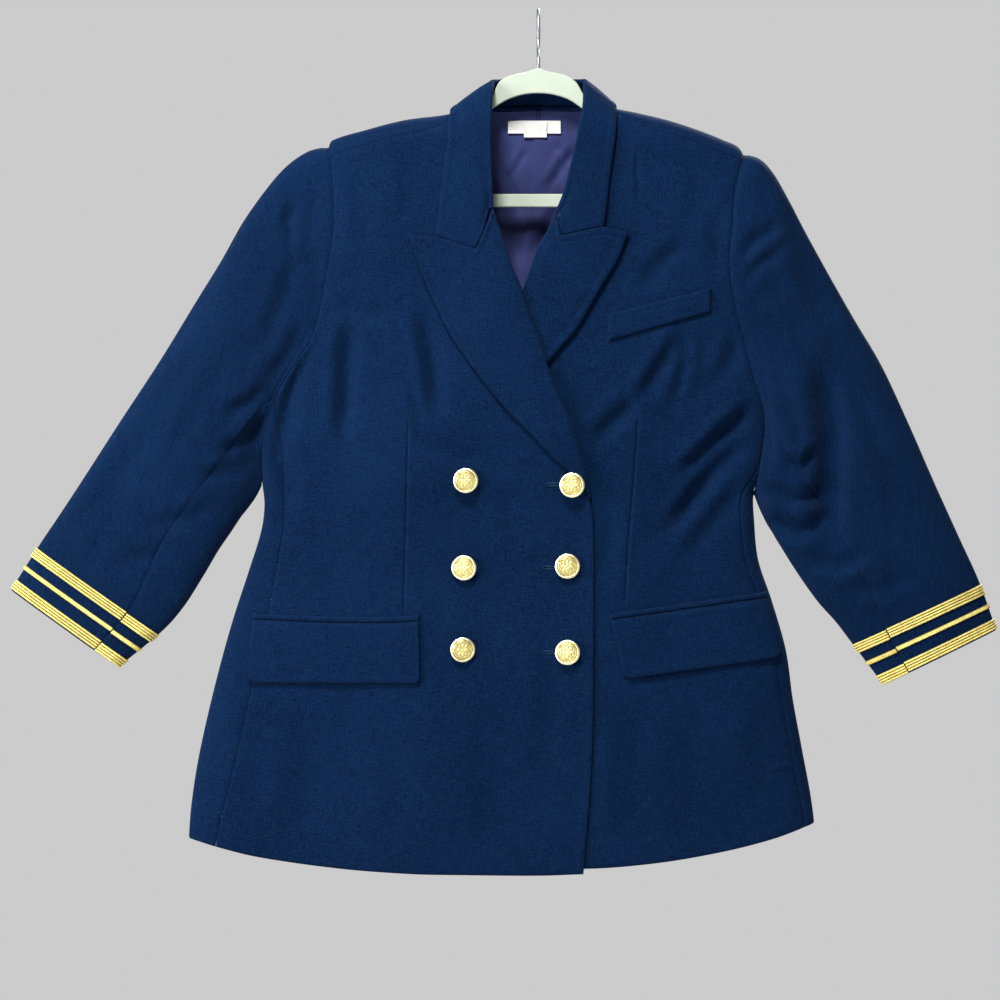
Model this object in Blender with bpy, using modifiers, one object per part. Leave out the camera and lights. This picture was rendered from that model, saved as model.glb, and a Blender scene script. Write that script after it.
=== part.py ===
"""A double-breasted blazer with peak lapels, hung on a flocked hanger.

Lengths are in millimetres and become metres where a mesh is written. X runs to the right as the
front is seen, Y to the back and Z up. The origin is the inside top of the hanger's hook. "Left"
and "right" are as seen from the front; side is -1 on the left and 1 on the right, face is -1 on
the front and 1 on the back.
"""
import math
from functools import lru_cache

import bmesh
import bpy
from mathutils import Vector

MM = 0.001

# Cloth and gaps
CLOTH = 1.6
TWO_PLY = 2.4
LINING = 1.0
LABEL = 0.8
TRIM = 1.2
SEAM = {-1: 0.2, 1: 0.6}   # each piece stops this far short of a side seam
CENTRE_SEAM = 0.2   # and this far short of the centre back seam
ARM_SEAM = 0.4      # and this far short of the armhole
SLEEVE_START = 1.0  # the sleeve's head starts this far outside the armhole
SHOULDER_GAP = 0.6 # and of the shoulder seam
SLEEVE_SEAM = 0.35  # and of the sleeve's seams
LAYER = 0.8         # clear space under a piece that lies on another
CLEAR = 0.3         # and under a small hard one
GUARD = 0.02        # share of a panel's width in the strip beside each seam
OUTER_SHARES = (0.0, 0.012, 0.035, 0.08)

# Body form
SHOULDER_ROLL = 24.0
SIDE_FULLNESS = 2.8
NECK_SEAM_BELOW = 3.5   # the shoulder seam starts this far below the ridge at the neck
SKIRT_Z = -640.0
SKIRT_ROWS = 4
LEVELS = (SKIRT_Z, -595, -545, -505)
ARM_ROWS = 2        # further rows up to where the side seam meets the armhole
UNDERARM_ROW = SKIRT_ROWS + len(LEVELS) - 1
BODY_ROWS = UNDERARM_ROW + 1 + ARM_ROWS
FRONT_DEPTH = ((-850, 26), (-640, 27), (-500, 27), (-400, 30), (-300, 31), (-200, 27), (-80, 20))
BACK_DEPTH = ((-850, 20), (-640, 20), (-500, 17), (-400, 20), (-300, 24), (-200, 25), (-80, 20))

# Shoulder ridge, x and height
RIDGE = ((-206, -133), (-202, -126), (-170, -116), (-131, -106), (-87, -100), (-66, -93),
         (-38, -85), (0, -80), (38, -85), (66, -93), (92, -98), (126, -106), (157, -116),
         (182, -126), (195, -132), (201, -140))
NECK_HALF = 68.0

# Neck edge, distance out from the middle and distance from the ridge round the shoulder
NECK = ((0, 24.5), (20, 23), (38, 19), (53, 12), (62, 3), (68, -10))

# Side outline of the body, height and x; above the armpit it runs on out of sight
EDGE = {
    -1: ((-133, -253), (-205, -256), (-266, -264), (-321, -270), (-372, -275), (-406, -275),
         (-438, -272), (-462, -270), (-482, -268), (-507, -271), (-546, -283), (-595, -299),
         (-653, -315), (-722, -331), (-771, -339), (-808, -342), (-830, -342)),
    1: ((-140, 248), (-213, 241), (-269, 234), (-321, 231), (-386, 231), (-405, 229),
        (-438, 223), (-458, 216), (-470, 210.5), (-497, 211), (-536, 215), (-575, 228),
        (-624, 242), (-673, 249), (-722, 258), (-771, 267), (-808, 271), (-830, 271)),
}

# Seam between a front and its side panel, height and distance in from the side outline
SEAM_INSET = {
    -1: ((-427, 22), (-480, 19), (-521, 23), (-585, 32), (-659, 37), (-737, 37), (-815, 27)),
    1: ((-470, 13), (-575, 12), (-633, 11), (-750, 11), (-810, 10)),
}
BACK_SEAM_INSET = 30.0

# Armhole, height and x, from the shoulder ridge to the underarm
ARMHOLE = {
    -1: ((-133, -206), (-141, -203), (-179, -200), (-205, -199), (-232, -202), (-266, -208),
         (-297, -214), (-321, -222), (-346, -238), (-372, -254), (-406, -267), (-438, -270.5),
         (-462, -270)),
    1: ((-140, 201), (-158, 196), (-181, 191), (-213, 189), (-242, 186), (-269, 188),
        (-297, 194), (-321, 200), (-358, 210), (-386, 218.5), (-405, 221), (-438, 217),
        (-470, 210.5)),
}
TURNS = (0, 8, 14, 19, 25, 33, 46, 60, 75, 90, 105, 119, 132, 146, 163, 180)
UNDERARM = len(TURNS) - 1
RING = 2 * UNDERARM
SHOULDER_MARK = 3               # the shoulder seam meets the armhole at this turn
SIDE_MARK = {-1: 11, 1: 13}     # the side panel's seams meet it here
SLEEVE_MARK = 11                # and the sleeve's seams here

# Inner edge of each front, height and x: neck seam, roll line, then the free edge
FRONT_EDGE = {
    -1: ((-104, -69), (-126, -60), (-155, -54), (-189, -51), (-213, -45.5), (-251, -31),
         (-289, -16), (-320, -4), (-345, 4), (-373, 15), (-397, 24), (-424, 34), (-453, 42.5),
         (-474, 49), (-497, 53), (-575, 54), (-693, 53), (-750, 50), (-802, 45), (-842, 41)),
    1: ((-104, 69), (-126, 56), (-150, 45), (-175, 34), (-196, 25), (-214, 16), (-235, 4),
        (-271, -9), (-311, -27), (-355, -46), (-399, -65), (-438, -83), (-458, -89.5),
        (-478, -92), (-575, -93), (-693, -93), (-840, -91)),
}

# Hem, x and height
HEM = {
    -1: ((-342, -808), (-315, -816), (-273, -826), (-193, -837), (-124, -842), (-77, -843),
         (0, -843.5), (45, -842)),
    1: ((-95, -834), (43, -837), (112, -832), (178, -821), (230, -808), (271, -793)),
}
BACK_HEM = ((-342, -808), (-300, -815), (-200, -824), (0, -828), (180, -815), (271, -793))

# Gorge seam between collar and lapel, from the roll out along the collar's end: x and height
GORGE = {
    -1: ((-44.5, -192.5), (-54, -218.6), (-61, -233.4), (-81, -227), (-99.6, -220.8)),
    1: ((17.3, -196.3), (19.5, -208), (22.3, -220.3), (43, -216), (63, -211.8)),
}
PEAK = {-1: (-127, -219.5), 1: (87.5, -217)}
ROLL = {
    -1: ((-44.5, -192.5), (-35.5, -219), (-25.5, -250), (-16, -272), (-11.5, -289), (0, -320),
         (8, -345), (19, -373), (29.5, -397.5), (38, -424), (46.5, -452)),
    1: ((17.3, -196.3), (10, -212), (-2.5, -235.5), (-15, -271), (-33, -312), (-52, -356),
        (-71, -400), (-86, -438), (-88, -444)),
}
LAPEL_EDGE = {
    -1: ((-127, -219.5), (-117, -249), (-103, -282), (-87.5, -313.5), (-70, -340),
         (-51.5, -364.5), (-32, -388.5), (-11, -409.5), (12, -433.5), (28, -444.5)),
    1: ((87.5, -217), (77, -243), (64, -265), (50, -289), (36.5, -311), (21, -329.5),
        (8.5, -344), (-20, -386), (-50, -425), (-74, -446)),
}
LAPEL_SHARES = {
    -1: (0, 0.04, 0.14, 0.21, 0.3, 0.39, 0.58, 0.76, 0.9, 1),
    1: (0, 0.04, 0.09, 0.13, 0.2, 0.27, 0.5, 0.73, 0.87, 1),
}
LAPEL_ROWS = 12
LAPEL_ROLL = 3.2

# The overlapping front rides out over the underlap and, higher up, over its lapel
LIFT_RUN = 90.0
LIFT_START = 100.0
LIFT_TOP_Z = -203.0
LIFT_DROP = 73.0
LAPEL_END_Z = -458.0

# Collar sections from each gorge to the centre back: fold x, y, z, outer edge x, z, face and
# seam x, z, face
COLLAR = {
    -1: (((-44.5, -30.5, -192.2), (-99.6, -220.8, -1), (-46.5, -190, -1)),
         ((-45.4, -32, -158), (-97.2, -199, -1), (-51.5, -158, -1)),
         ((-46.4, -30, -126), (-91.4, -150.3, -1), (-57.5, -128, -1)),
         ((-45.4, -23, -94.6), (-87.4, -118, -1), (-64.5, -107, -1)),
         ((-45, -17.5, -85), (-87, -109, -1), (-65.5, -99, -1)),
         ((-44.5, -12, -77), (-86, -104, -1), (-64.5, -94.5, -1)),
         ((-44, -6, -71), (-85.5, -101.1, -1), (-63.5, -92.6, -1)),
         ((-43, 0, -67.3), (-85, -99.6, 1), (-62, -92, 1)),
         ((-40, 5.2, -66.4), (-83, -102, 1), (-59, -91.4, 1)),
         ((-35.7, 10, -65.8), (-79, -108, 1), (-54, -92.3, 1)),
         ((-30, 13.5, -65.5), (-69, -110, 1), (-46, -92, 1)),
         ((-23, 16, -65.4), (-56, -109.5, 1), (-38, -92.2, 1)),
         ((-10, 19, -65.3), (-27, -109, 1), (-18, -91.7, 1))),
    1: (((17.3, -30.5, -196), (63, -211.8, -1), (21.5, -194, -1)),
        ((23.9, -32, -179.6), (65.5, -197.2, -1), (29, -179, -1)),
        ((30.8, -31, -152.2), (68.9, -165, -1), (40, -155, -1)),
        ((37.6, -29, -121), (73.5, -134, -1), (54, -126, -1)),
        ((42.5, -22, -94.6), (75.7, -112, -1), (64.5, -107, -1)),
        ((43.5, -16.5, -84.5), (75.7, -104, -1), (65.5, -99, -1)),
        ((44, -11, -77), (75.7, -99, -1), (64.5, -94.5, -1)),
        ((44.2, -5.5, -70.8), (75.7, -96.6, -1), (63.5, -92.6, -1)),
        ((44, 0, -66.5), (75.7, -95.6, 1), (62, -92, 1)),
        ((40.5, 5.2, -66), (75.5, -98.2, 1), (59, -91.4, 1)),
        ((35.7, 10, -65.6), (73.5, -104.5, 1), (54, -92.3, 1)),
        ((30, 13.5, -65.5), (67, -108.5, 1), (46, -92, 1)),
        ((23, 16, -65.4), (56, -109.5, 1), (38, -92.2, 1)),
        ((10, 19, -65.3), (27, -109, 1), (18, -91.7, 1))),
}
COLLAR_BACK = ((0, 19.5, -65.3), (0, -109, 1), (0, -91.5, 1))
COLLAR_FOLD = 2.8
COLLAR_CLEAR = 2.0
FALL_SHARES = (0.15, 0.35, 0.68, 1.0)

# Sleeves from armhole to cuff: outer edge x, z, inner edge x, z, half depth, seam turn
SLEEVE = {
    -1: ((-206, -133, -270, -462, 0, 119), (-225, -137, -272.5, -467, 24, 119),
         (-243, -148, -275, -472, 25, 118), (-262, -168, -278, -477, 26, 117),
         (-288, -204, -281.5, -482, 26, 116), (-310, -243, -286, -488, 26, 115),
         (-334, -282, -291.5, -495, 25, 114), (-370, -341, -300, -508, 24, 112),
         (-408, -399, -313, -527, 23, 110), (-446, -458, -329, -554, 22, 109),
         (-469, -493, -347, -582, 19, 113), (-488.5, -522, -368.8, -606.5, 17, 119),
         (-516, -565.5, -411, -641, 14, 124)),
    1: ((201, -140, 210.5, -470, 0, 119), (217, -145, 212.5, -476, 24, 119),
        (230, -158, 214.5, -481.5, 25, 118), (245, -184, 216.7, -487, 26, 117),
        (261, -215, 219.5, -493, 26, 116), (284, -257, 223.5, -501, 26, 115),
        (309, -301, 231, -513, 25, 114), (336, -347, 243, -533, 24, 112),
        (363, -405, 258, -556, 23, 110), (387, -460, 274, -578, 22, 110),
        (411, -513, 291, -597, 19, 113), (431, -557, 305.3, -615.8, 17, 119),
        (448, -604.6, 337.6, -658.3, 14, 124)),
}
BOW_FADE = (1, 0.92, 0.8, 0.62, 0.42, 0.22, 0.08)
SLEEVE_FULLNESS = 0.85

# Braid rows on a cuff, as shares of the sleeve's last span
BRAIDS = {"top": (0.065, 0.285), "middle": (0.47, 0.56), "edge": (0.775, 0.975)}
UNDER_BRAID_STEP = 0.02

# Long soft troughs: start x, z, end x, z, depth and half width
FRONT_FOLDS = ((212, -398, 96, -540, 3.2, 20), (205, -452, 120, -590, 2.4, 20),
               (160, -330, 110, -430, 2.0, 22), (-190, -370, -188, -440, 2.2, 20),
               (-235, -380, -180, -470, 2.0, 18), (-104, -300, -100, -400, 1.6, 20))
BACK_FOLDS = ((-205, -400, -90, -560, 2.8, 22), (200, -410, 80, -560, 2.8, 22),
              (-150, -300, -120, -420, 2.0, 22), (140, -300, 110, -430, 2.0, 22))
SLEEVE_FOLDS = ((285, -340, 285, -530, 4.0, 13), (230, -300, 262, -430, 2.5, 14),
                (-330, -330, -430, -500, 3.2, 14), (-285, -300, -300, -430, 2.6, 14))

# Pockets: corner x and height, left to right along the top, then the bottom
FLAP = {
    -1: ((-278.5, -594.2), (-177, -597.6), (-116.5, -595.5), (-284, -656), (-177, -656),
         (-115.5, -656)),
    1: ((70, -594.5), (146, -584), (221.5, -573.2), (83.5, -652), (160, -641.5),
        (236, -631)),
}
FLAP_ENDS = (0, 0.012, 0.04, 0.08)
FLAP_ROWS = 3
FLAP_CORNER = 8.0
JET_HEIGHT = 5.0
WELT = ((68, -296.5), (167, -271.6), (68, -322), (167, -294))

# Buttons: x and height
BUTTONS = ((-71, -458.5), (-72.7, -543.7), (-74, -623.2), (32.4, -463), (27.9, -542),
           (28.1, -626))
BUTTON_PROFILE = ((0.0, 3.4), (8.6, 2.9), (9.8, 3.2), (11.4, 3.0), (12.1, 1.7), (10.5, 0.0),
                  (2.6, 0.0), (2.4, -2.6), (0.0, -2.6))
BUTTON_STEPS = 14
SHANK = 2.6

# Neck lining and the bare labels on it: left, right, top and bottom
LINING_HALF = 52.0
LINING_CLEAR = 1.0
LINING_LOW_Z = -300.0
NECK_LABEL = (-29.8, 22.0, -105.3, -118.0)
SIZE_TAB = (-14.2, 8.3, -107.3, -121.9)

# Hanger
HANGER_THICK = 5.0
ARM_DEEP = 20.0
ARM_CLEAR = 2.1
ARM_TIP = 195.0
ARCH_TOP = ((-58, -97.5), (-50, -90.5), (-44, -80), (-38, -68.5), (-27, -62.4), (-12, -58.8),
            (-4, -56.2), (0, -55), (4, -56.2), (8, -58.0), (27, -62.4), (34, -66.6),
            (38, -70.5), (44, -81), (50, -91), (58, -98))
ARCH_UNDER = ((-44.5, -94.3), (-30, -86), (-15, -81), (0, -79.6), (15, -81), (30, -86),
              (42.5, -94.3))
BAR_TOP_Z = -178.3
BAR_LOW_Z = -191.1
BAR_CORNER = 14.0
HOOK_WIRE = 3.4
HOOK_RADIUS = 20.0

FINISHES = {
    "navy_weave": ((0.009, 0.028, 0.105), 0.85, 0.0),
    "lining": ((0.055, 0.062, 0.190), 0.45, 0.0),
    "label": ((0.80, 0.80, 0.78), 0.8, 0.0),
    "gold_braid": ((0.85, 0.72, 0.24), 0.5, 0.2),
    "gold_metal": ((0.86, 0.74, 0.32), 0.3, 1.0),
    "flocking": ((0.82, 0.88, 0.74), 0.9, 0.0),
    "chrome": ((0.75, 0.76, 0.78), 0.15, 1.0),
}


# ---------------------------------------------------------------- curves through tables

def ease(t):
    """Smooth step from 0 to 1."""
    t = min(max(t, 0.0), 1.0)
    return t * t * (3 - 2 * t)


def mix(a, b, t):
    """Value between a and b."""
    return a + (b - a) * t


def read(rows, key):
    """Second column of a table at a key in the first, on a smooth curve through the rows."""
    if rows[0][0] > rows[-1][0]:
        rows = rows[::-1]
    if key <= rows[0][0]:
        return rows[0][1]
    if key >= rows[-1][0]:
        return rows[-1][1]
    last = len(rows) - 1
    i = max(k for k in range(last) if rows[k][0] <= key)

    def slope(k):
        a, b = max(k - 1, 0), min(k + 1, last)
        return (rows[b][1] - rows[a][1]) / (rows[b][0] - rows[a][0])

    span = rows[i + 1][0] - rows[i][0]
    t = (key - rows[i][0]) / span
    return (rows[i][1] * (2 * t**3 - 3 * t**2 + 1) + slope(i) * span * (t**3 - 2 * t**2 + t)
            + rows[i + 1][1] * (3 * t**2 - 2 * t**3) + slope(i + 1) * span * (t**3 - t**2))


def along(points, t):
    """Point at a share t of the length of a line through points."""
    lengths = [math.dist(a, b) for a, b in zip(points, points[1:])]
    left = min(max(t, 0.0), 1.0) * sum(lengths)
    for a, b, length in zip(points, points[1:], lengths):
        if left <= length:
            return Vector(a).lerp(Vector(b), left / length)
        left -= length
    return Vector(points[-1])


def shares(count):
    """Shares across a front from its outer edge, closer together near both edges."""
    middle = [mix(OUTER_SHARES[-1], 1 - GUARD, k / count) for k in range(1, count + 1)]
    return list(OUTER_SHARES) + middle + [1.0]


# ---------------------------------------------------------------- the body's form

def half_span(z):
    """Middle and half width of the body's outline at a height."""
    left, right = read(EDGE[-1], z), read(EDGE[1], z)
    return (left + right) / 2, (right - left) / 2


def fold(x, z, from_x, from_z, to_x, to_z, deep, wide):
    """Depth of a soft trough along a line, at a place."""
    run_x, run_z = to_x - from_x, to_z - from_z
    t = ((x - from_x) * run_x + (z - from_z) * run_z) / (run_x**2 + run_z**2)
    across = math.hypot(x - from_x - t * run_x, z - from_z - t * run_z)
    fade = ease((t + 0.15) / 0.4) * ease((1.15 - t) / 0.4)
    return deep * fade * math.exp(-(across / wide) ** 2)


def shell(x, z, face):
    """Point of the body's outer surface, front (face -1) or back (face 1)."""
    middle, half = half_span(z)
    across = min(abs(x - middle) / half, 1.0)
    below = min(max((read(RIDGE, x) - z) / SHOULDER_ROLL, 0.0), 1.0)
    full = (1 - across**SIDE_FULLNESS) ** (1 / SIDE_FULLNESS) * math.sqrt(1 - (1 - below) ** 2)
    full *= read(FRONT_DEPTH if face < 0 else BACK_DEPTH, z)
    sunk = sum(fold(x, z, *row) for row in (FRONT_FOLDS if face < 0 else BACK_FOLDS))
    return Vector((x, face * (full - min(sunk, 0.3 * full)), z))


def over_shoulder(x, run):
    """Point at a distance from the ridge round the shoulder, below zero on the front."""
    turn = min(abs(run) / SHOULDER_ROLL, math.pi / 2)
    below = SHOULDER_ROLL * (1 - math.cos(turn)) + max(abs(run) - SHOULDER_ROLL * math.pi / 2, 0)
    return shell(x, read(RIDGE, x) - below, -1 if run < 0 else 1)


def run_at(x, z, face):
    """Distance from the ridge round the shoulder to a height."""
    below = max(read(RIDGE, x) - z, 0.0)
    if below < SHOULDER_ROLL:
        return face * SHOULDER_ROLL * math.acos(1 - below / SHOULDER_ROLL)
    return face * (SHOULDER_ROLL * math.pi / 2 + below - SHOULDER_ROLL)


def on_body(x, z, face, rise, step=0.5):
    """Point of the body moved out along its normal."""
    run = run_at(x, z, face)
    right = over_shoulder(x + step, run) - over_shoulder(x - step, run)
    up = over_shoulder(x, run + step) - over_shoulder(x, run - step)
    return over_shoulder(x, run) + right.cross(up).normalized() * rise


def lift(x, z):
    """How far the overlapping front rides out over the underlap and its lapel."""
    hidden_edge = read(FRONT_EDGE[1], z)
    over = ease((x - hidden_edge + LIFT_START) / LIFT_RUN) * ease((LIFT_TOP_Z - z) / LIFT_DROP)
    lapel = ease((z - LAPEL_END_Z + 25) / 25.0)
    return over * (CLOTH + LAYER + lapel * (TWO_PLY + LAYER))


def on_front(x, z, side, rise):
    """Point of a front's outer face moved out along its normal."""
    point = on_body(x, z, -1, rise)
    if side < 0:
        point.y -= lift(x, z)
    return point


# ---------------------------------------------------------------- armholes and side seams

@lru_cache(maxsize=None)
def armhole(side, mark):
    """Place on the armhole, x and z; the marks count from the ridge down the front."""
    mark = RING - mark if mark > UNDERARM else mark
    rows = ARMHOLE[side]
    z = mix(rows[0][0], rows[-1][0], (1 - math.cos(math.radians(TURNS[mark]))) / 2)
    return read(rows, z), z


def ring_point(side, mark):
    """Point of the armhole on the body."""
    x, z = armhole(side, mark % RING)
    point = shell(x, z, -1 if mark % RING <= UNDERARM else 1)
    if mark % UNDERARM == 0:
        point.y = 0.0
    return point


def seam_x(z, side, face):
    """Where a side panel's front or back seam runs; it starts at the armhole."""
    start_x, start_z = armhole(side, SIDE_MARK[side])
    start = abs(read(EDGE[side], start_z) - start_x)
    inset = read(SEAM_INSET[side], z) if face < 0 else BACK_SEAM_INSET
    return read(EDGE[side], z) - side * mix(start, inset, ease((start_z - z) / 50.0))


def across_angle(x, z):
    """Angle round the side, 0 at the edge, of a place on the body."""
    middle, half = half_span(z)
    return math.acos(min(abs(x - middle) / half, 1.0) ** (SIDE_FULLNESS / 2))


def hem(x, side, face):
    """Height of the hem."""
    return read(BACK_HEM if face > 0 else HEM[side], x)


def body_row(row, x, side, face):
    """Height of a row of the body below the armhole, counted from the hem."""
    if row < SKIRT_ROWS:
        return mix(hem(x, side, face), SKIRT_Z, row / SKIRT_ROWS)
    if row <= UNDERARM_ROW:
        return LEVELS[row - SKIRT_ROWS]
    return mix(LEVELS[-1], armhole(side, SIDE_MARK[side])[1], (row - UNDERARM_ROW) / (ARM_ROWS + 1))


def seam_place(row, side, face):
    """Place where a row meets the side seam."""
    x = seam_x(body_row(row, 0, side, face), side, face)
    for _ in range(4):
        x = seam_x(body_row(row, x, side, face), side, face)
    return x, body_row(row, x, side, face)


# ---------------------------------------------------------------- making pieces

def finish(name):
    """Principled material with the finish's colour, roughness and metallic value."""
    if name in bpy.data.materials:
        return bpy.data.materials[name]
    colour, rough, metal = FINISHES[name]
    material = bpy.data.materials.new(name)
    material.use_nodes = True
    surface = material.node_tree.nodes["Principled BSDF"]
    surface.inputs["Base Color"].default_value = (*colour, 1.0)
    surface.inputs["Roughness"].default_value = rough
    surface.inputs["Metallic"].default_value = metal
    return material


def add(name, data, look):
    """Object with a mesh or curve and a finish, in the blazer's collection."""
    piece = bpy.data.objects.new(name, data)
    data.materials.append(finish(look))
    bpy.data.collections["blazer"].objects.link(piece)
    return piece


def cloth(name, columns, rows, place, look="navy_weave", thick=CLOTH, inward=1):
    """Cloth wall: a grid moved by place(i, j), then thickened away from its outer face.

    The wall grows against the grid's normal, i across j, or along it where inward is -1.
    """
    grid = bmesh.new()
    bmesh.ops.create_grid(grid, x_segments=columns, y_segments=rows, size=0.5)
    for corner in grid.verts:
        i = round((corner.co.x + 0.5) * columns)
        j = round((corner.co.y + 0.5) * rows)
        corner.co = place(i, j) * MM
    mesh = bpy.data.meshes.new(name)
    grid.to_mesh(mesh)
    grid.free()
    piece = add(name, mesh, look)
    wall = piece.modifiers.new("wall", "SOLIDIFY")
    wall.thickness = thick * MM
    wall.offset = -inward
    mesh.shade_smooth()
    mesh.set_sharp_from_angle(angle=math.radians(40))
    return piece


# ---------------------------------------------------------------- fronts, back and side panels

def shoulder_seam(x, side):
    """Height of the shoulder seam, which drops from the ridge at the neck onto the front."""
    end_x, end_z = armhole(side, SHOULDER_MARK)
    out = (x - side * NECK_HALF) / (end_x - side * NECK_HALF)
    below = mix(NECK_SEAM_BELOW, read(RIDGE, end_x) - end_z, ease(out * 2.5))
    return read(RIDGE, x) - below


def front(name, side, middle_columns):
    """One front, from its side seam and armhole to its inner edge."""
    widths = shares(middle_columns)
    columns = len(widths) - 1
    ring_rows = SIDE_MARK[side] - SHOULDER_MARK + 1
    low_z = armhole(side, SIDE_MARK[side])[1]
    top_z = armhole(side, SHOULDER_MARK)[1]
    neck_z = shoulder_seam(side * NECK_HALF, side)

    def place(i, j):
        share = widths[i] if side < 0 else widths[columns - i]
        if j < BODY_ROWS:
            outer_x, outer_z = seam_place(j, side, -1)
            inner_x = read(FRONT_EDGE[side], outer_z)
            x = mix(outer_x - side * SEAM[side], inner_x, share)
            return on_front(x, body_row(j, x, side, -1), side, 0)
        outer_x, outer_z = armhole(side, SIDE_MARK[side] - (j - BODY_ROWS))
        rise = (outer_z - low_z) / (top_z - low_z)
        inner_z = mix(low_z, neck_z, rise)
        x = mix(outer_x - side * ARM_SEAM, read(FRONT_EDGE[side], inner_z), share)
        bend = shoulder_seam(x, side) - SHOULDER_GAP - mix(top_z, neck_z, share)
        return on_front(x, mix(outer_z, inner_z, share) + bend * rise**2, side, 0)

    return cloth(name, columns, BODY_ROWS + ring_rows - 1, place)


def back(name, side):
    """One half of the back, from its side seam over the shoulder to the seam on the front."""
    end_x = abs(armhole(side, SHOULDER_MARK)[0]) - ARM_SEAM
    neck_shares = [1 - x / end_x for x, _ in NECK[::-1]]
    widths = list(OUTER_SHARES)
    widths += [mix(OUTER_SHARES[-1], neck_shares[0], k / 4) for k in range(1, 4)] + neck_shares
    columns = len(widths) - 1
    first = SIDE_MARK[side]
    marks = list(range(first, -SHOULDER_MARK - 1, -1))
    low_z = armhole(side, first)[1]

    def ring_run(mark):
        x, z = armhole(side, abs(mark))
        return run_at(x, z, -1 if mark < 0 else 1)

    def top_run(x):
        if abs(x) >= NECK_HALF - 0.1:
            return run_at(x, shoulder_seam(x, side) + SHOULDER_GAP, -1)
        return read(NECK, abs(x))

    def place(i, j):
        share = widths[columns - i] if side > 0 else widths[i]
        if j < BODY_ROWS:
            outer_x = seam_place(j, side, 1)[0]
            x = mix(outer_x - side * SEAM[side], side * CENTRE_SEAM, share)
            return shell(x, body_row(j, x, side, 1), 1)
        mark = marks[j - BODY_ROWS]
        outer_x = armhole(side, abs(mark))[0]
        x = mix(outer_x - side * ARM_SEAM, side * CENTRE_SEAM, share)
        low = run_at(x, low_z, 1)
        t = (ring_run(first) - ring_run(mark)) / (ring_run(first) - ring_run(marks[-1]))
        return over_shoulder(x, mix(low, top_run(x), t))

    return cloth(name, columns, BODY_ROWS + len(marks) - 1, place, inward=-1)


def side_panel(name, side):
    """Panel round the side, from the front seam under the arm to the back seam."""
    first = SIDE_MARK[side]
    marks = [first, first + 0.15] + list(range(first + 1, RING - first))
    marks += [RING - first - 0.15, RING - first]
    columns = len(marks) - 1
    reach = UNDERARM - first

    def ring_place(mark):
        k = math.floor(mark)
        ends = [armhole(side, k), armhole(side, min(k + 1, RING - 1))]
        return mix(ends[0][0], ends[1][0], mark - k), mix(ends[0][1], ends[1][1], mark - k)

    def round_side(turn, z, face):
        angle = across_angle(seam_x(z, side, face), z) * turn
        return angle

    def at_angle(angle, z, face):
        middle, half = half_span(z)
        return shell(middle + side * half * math.cos(angle) ** (2 / SIDE_FULLNESS), z, face)

    def place(i, j):
        mark = marks[columns - i] if side < 0 else marks[i]
        turn = (mark - UNDERARM) / reach
        face = -1 if turn <= 0 else 1
        at_seam = abs(turn) == 1
        if j <= UNDERARM_ROW:
            z = body_row(j, seam_place(j, side, face)[0], side, face)
            if j < SKIRT_ROWS and not at_seam:
                z = body_row(j, read(EDGE[side], z), side, face)
                z = mix(z, seam_place(j, side, face)[1], turn * turn)
            angle = round_side(abs(turn), z, face)
        else:
            rise = (j - UNDERARM_ROW) / (ARM_ROWS + 1)
            ring_x, ring_z = ring_place(mark)
            z = mix(LEVELS[-1], ring_z, rise)
            angle = round_side(abs(turn), z, face)
            if not at_seam:
                angle = mix(angle, across_angle(ring_x, ring_z), rise)
        point = at_angle(angle, z, face)
        if at_seam:
            point.x += side * SEAM[side]
        if j == BODY_ROWS:
            point += Vector((0 if at_seam else -side * ARM_SEAM, 0, -ARM_SEAM))
        return point

    return cloth(name, columns, BODY_ROWS, place)


# ---------------------------------------------------------------- lapels and collar

def lapel(name, side):
    """Turned-back lapel on its front: four rails and the patch between them."""
    corner = Vector((-side * 0.35, -0.35)) if side > 0 else Vector((0.35, -0.35))
    top = [Vector(place) + corner for place in GORGE[side]] + [Vector(PEAK[side])]
    outer = list(LAPEL_EDGE[side])
    roll = [top[0]] + list(ROLL[side][1:])
    end = (roll[-1], outer[-1])
    widths = LAPEL_SHARES[side]
    columns = len(widths) - 1

    def flat(u, v):
        rails = along(top, u) * (1 - v) + along(end, u) * v
        rails += along(roll, v) * (1 - u) + along(outer, v) * u
        ends = top[0] * (1 - u) * (1 - v) + top[-1] * u * (1 - v)
        ends += Vector(end[0]) * (1 - u) * v + Vector(end[1]) * u * v
        return rails - ends

    def place(i, j):
        u = widths[columns - i] if side < 0 else widths[i]
        v = 1 - j / LAPEL_ROWS
        x, z = flat(u, v)
        inset = (along(roll, v) - Vector((x, z))).length
        drop = 0.0
        if inset < LAPEL_ROLL:
            drop = LAPEL_ROLL - math.sqrt(LAPEL_ROLL**2 - (LAPEL_ROLL - inset) ** 2)
        return on_front(x, z, side, LAYER + TWO_PLY - drop)

    return cloth(name, columns, LAPEL_ROWS, place, thick=TWO_PLY)


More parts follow.
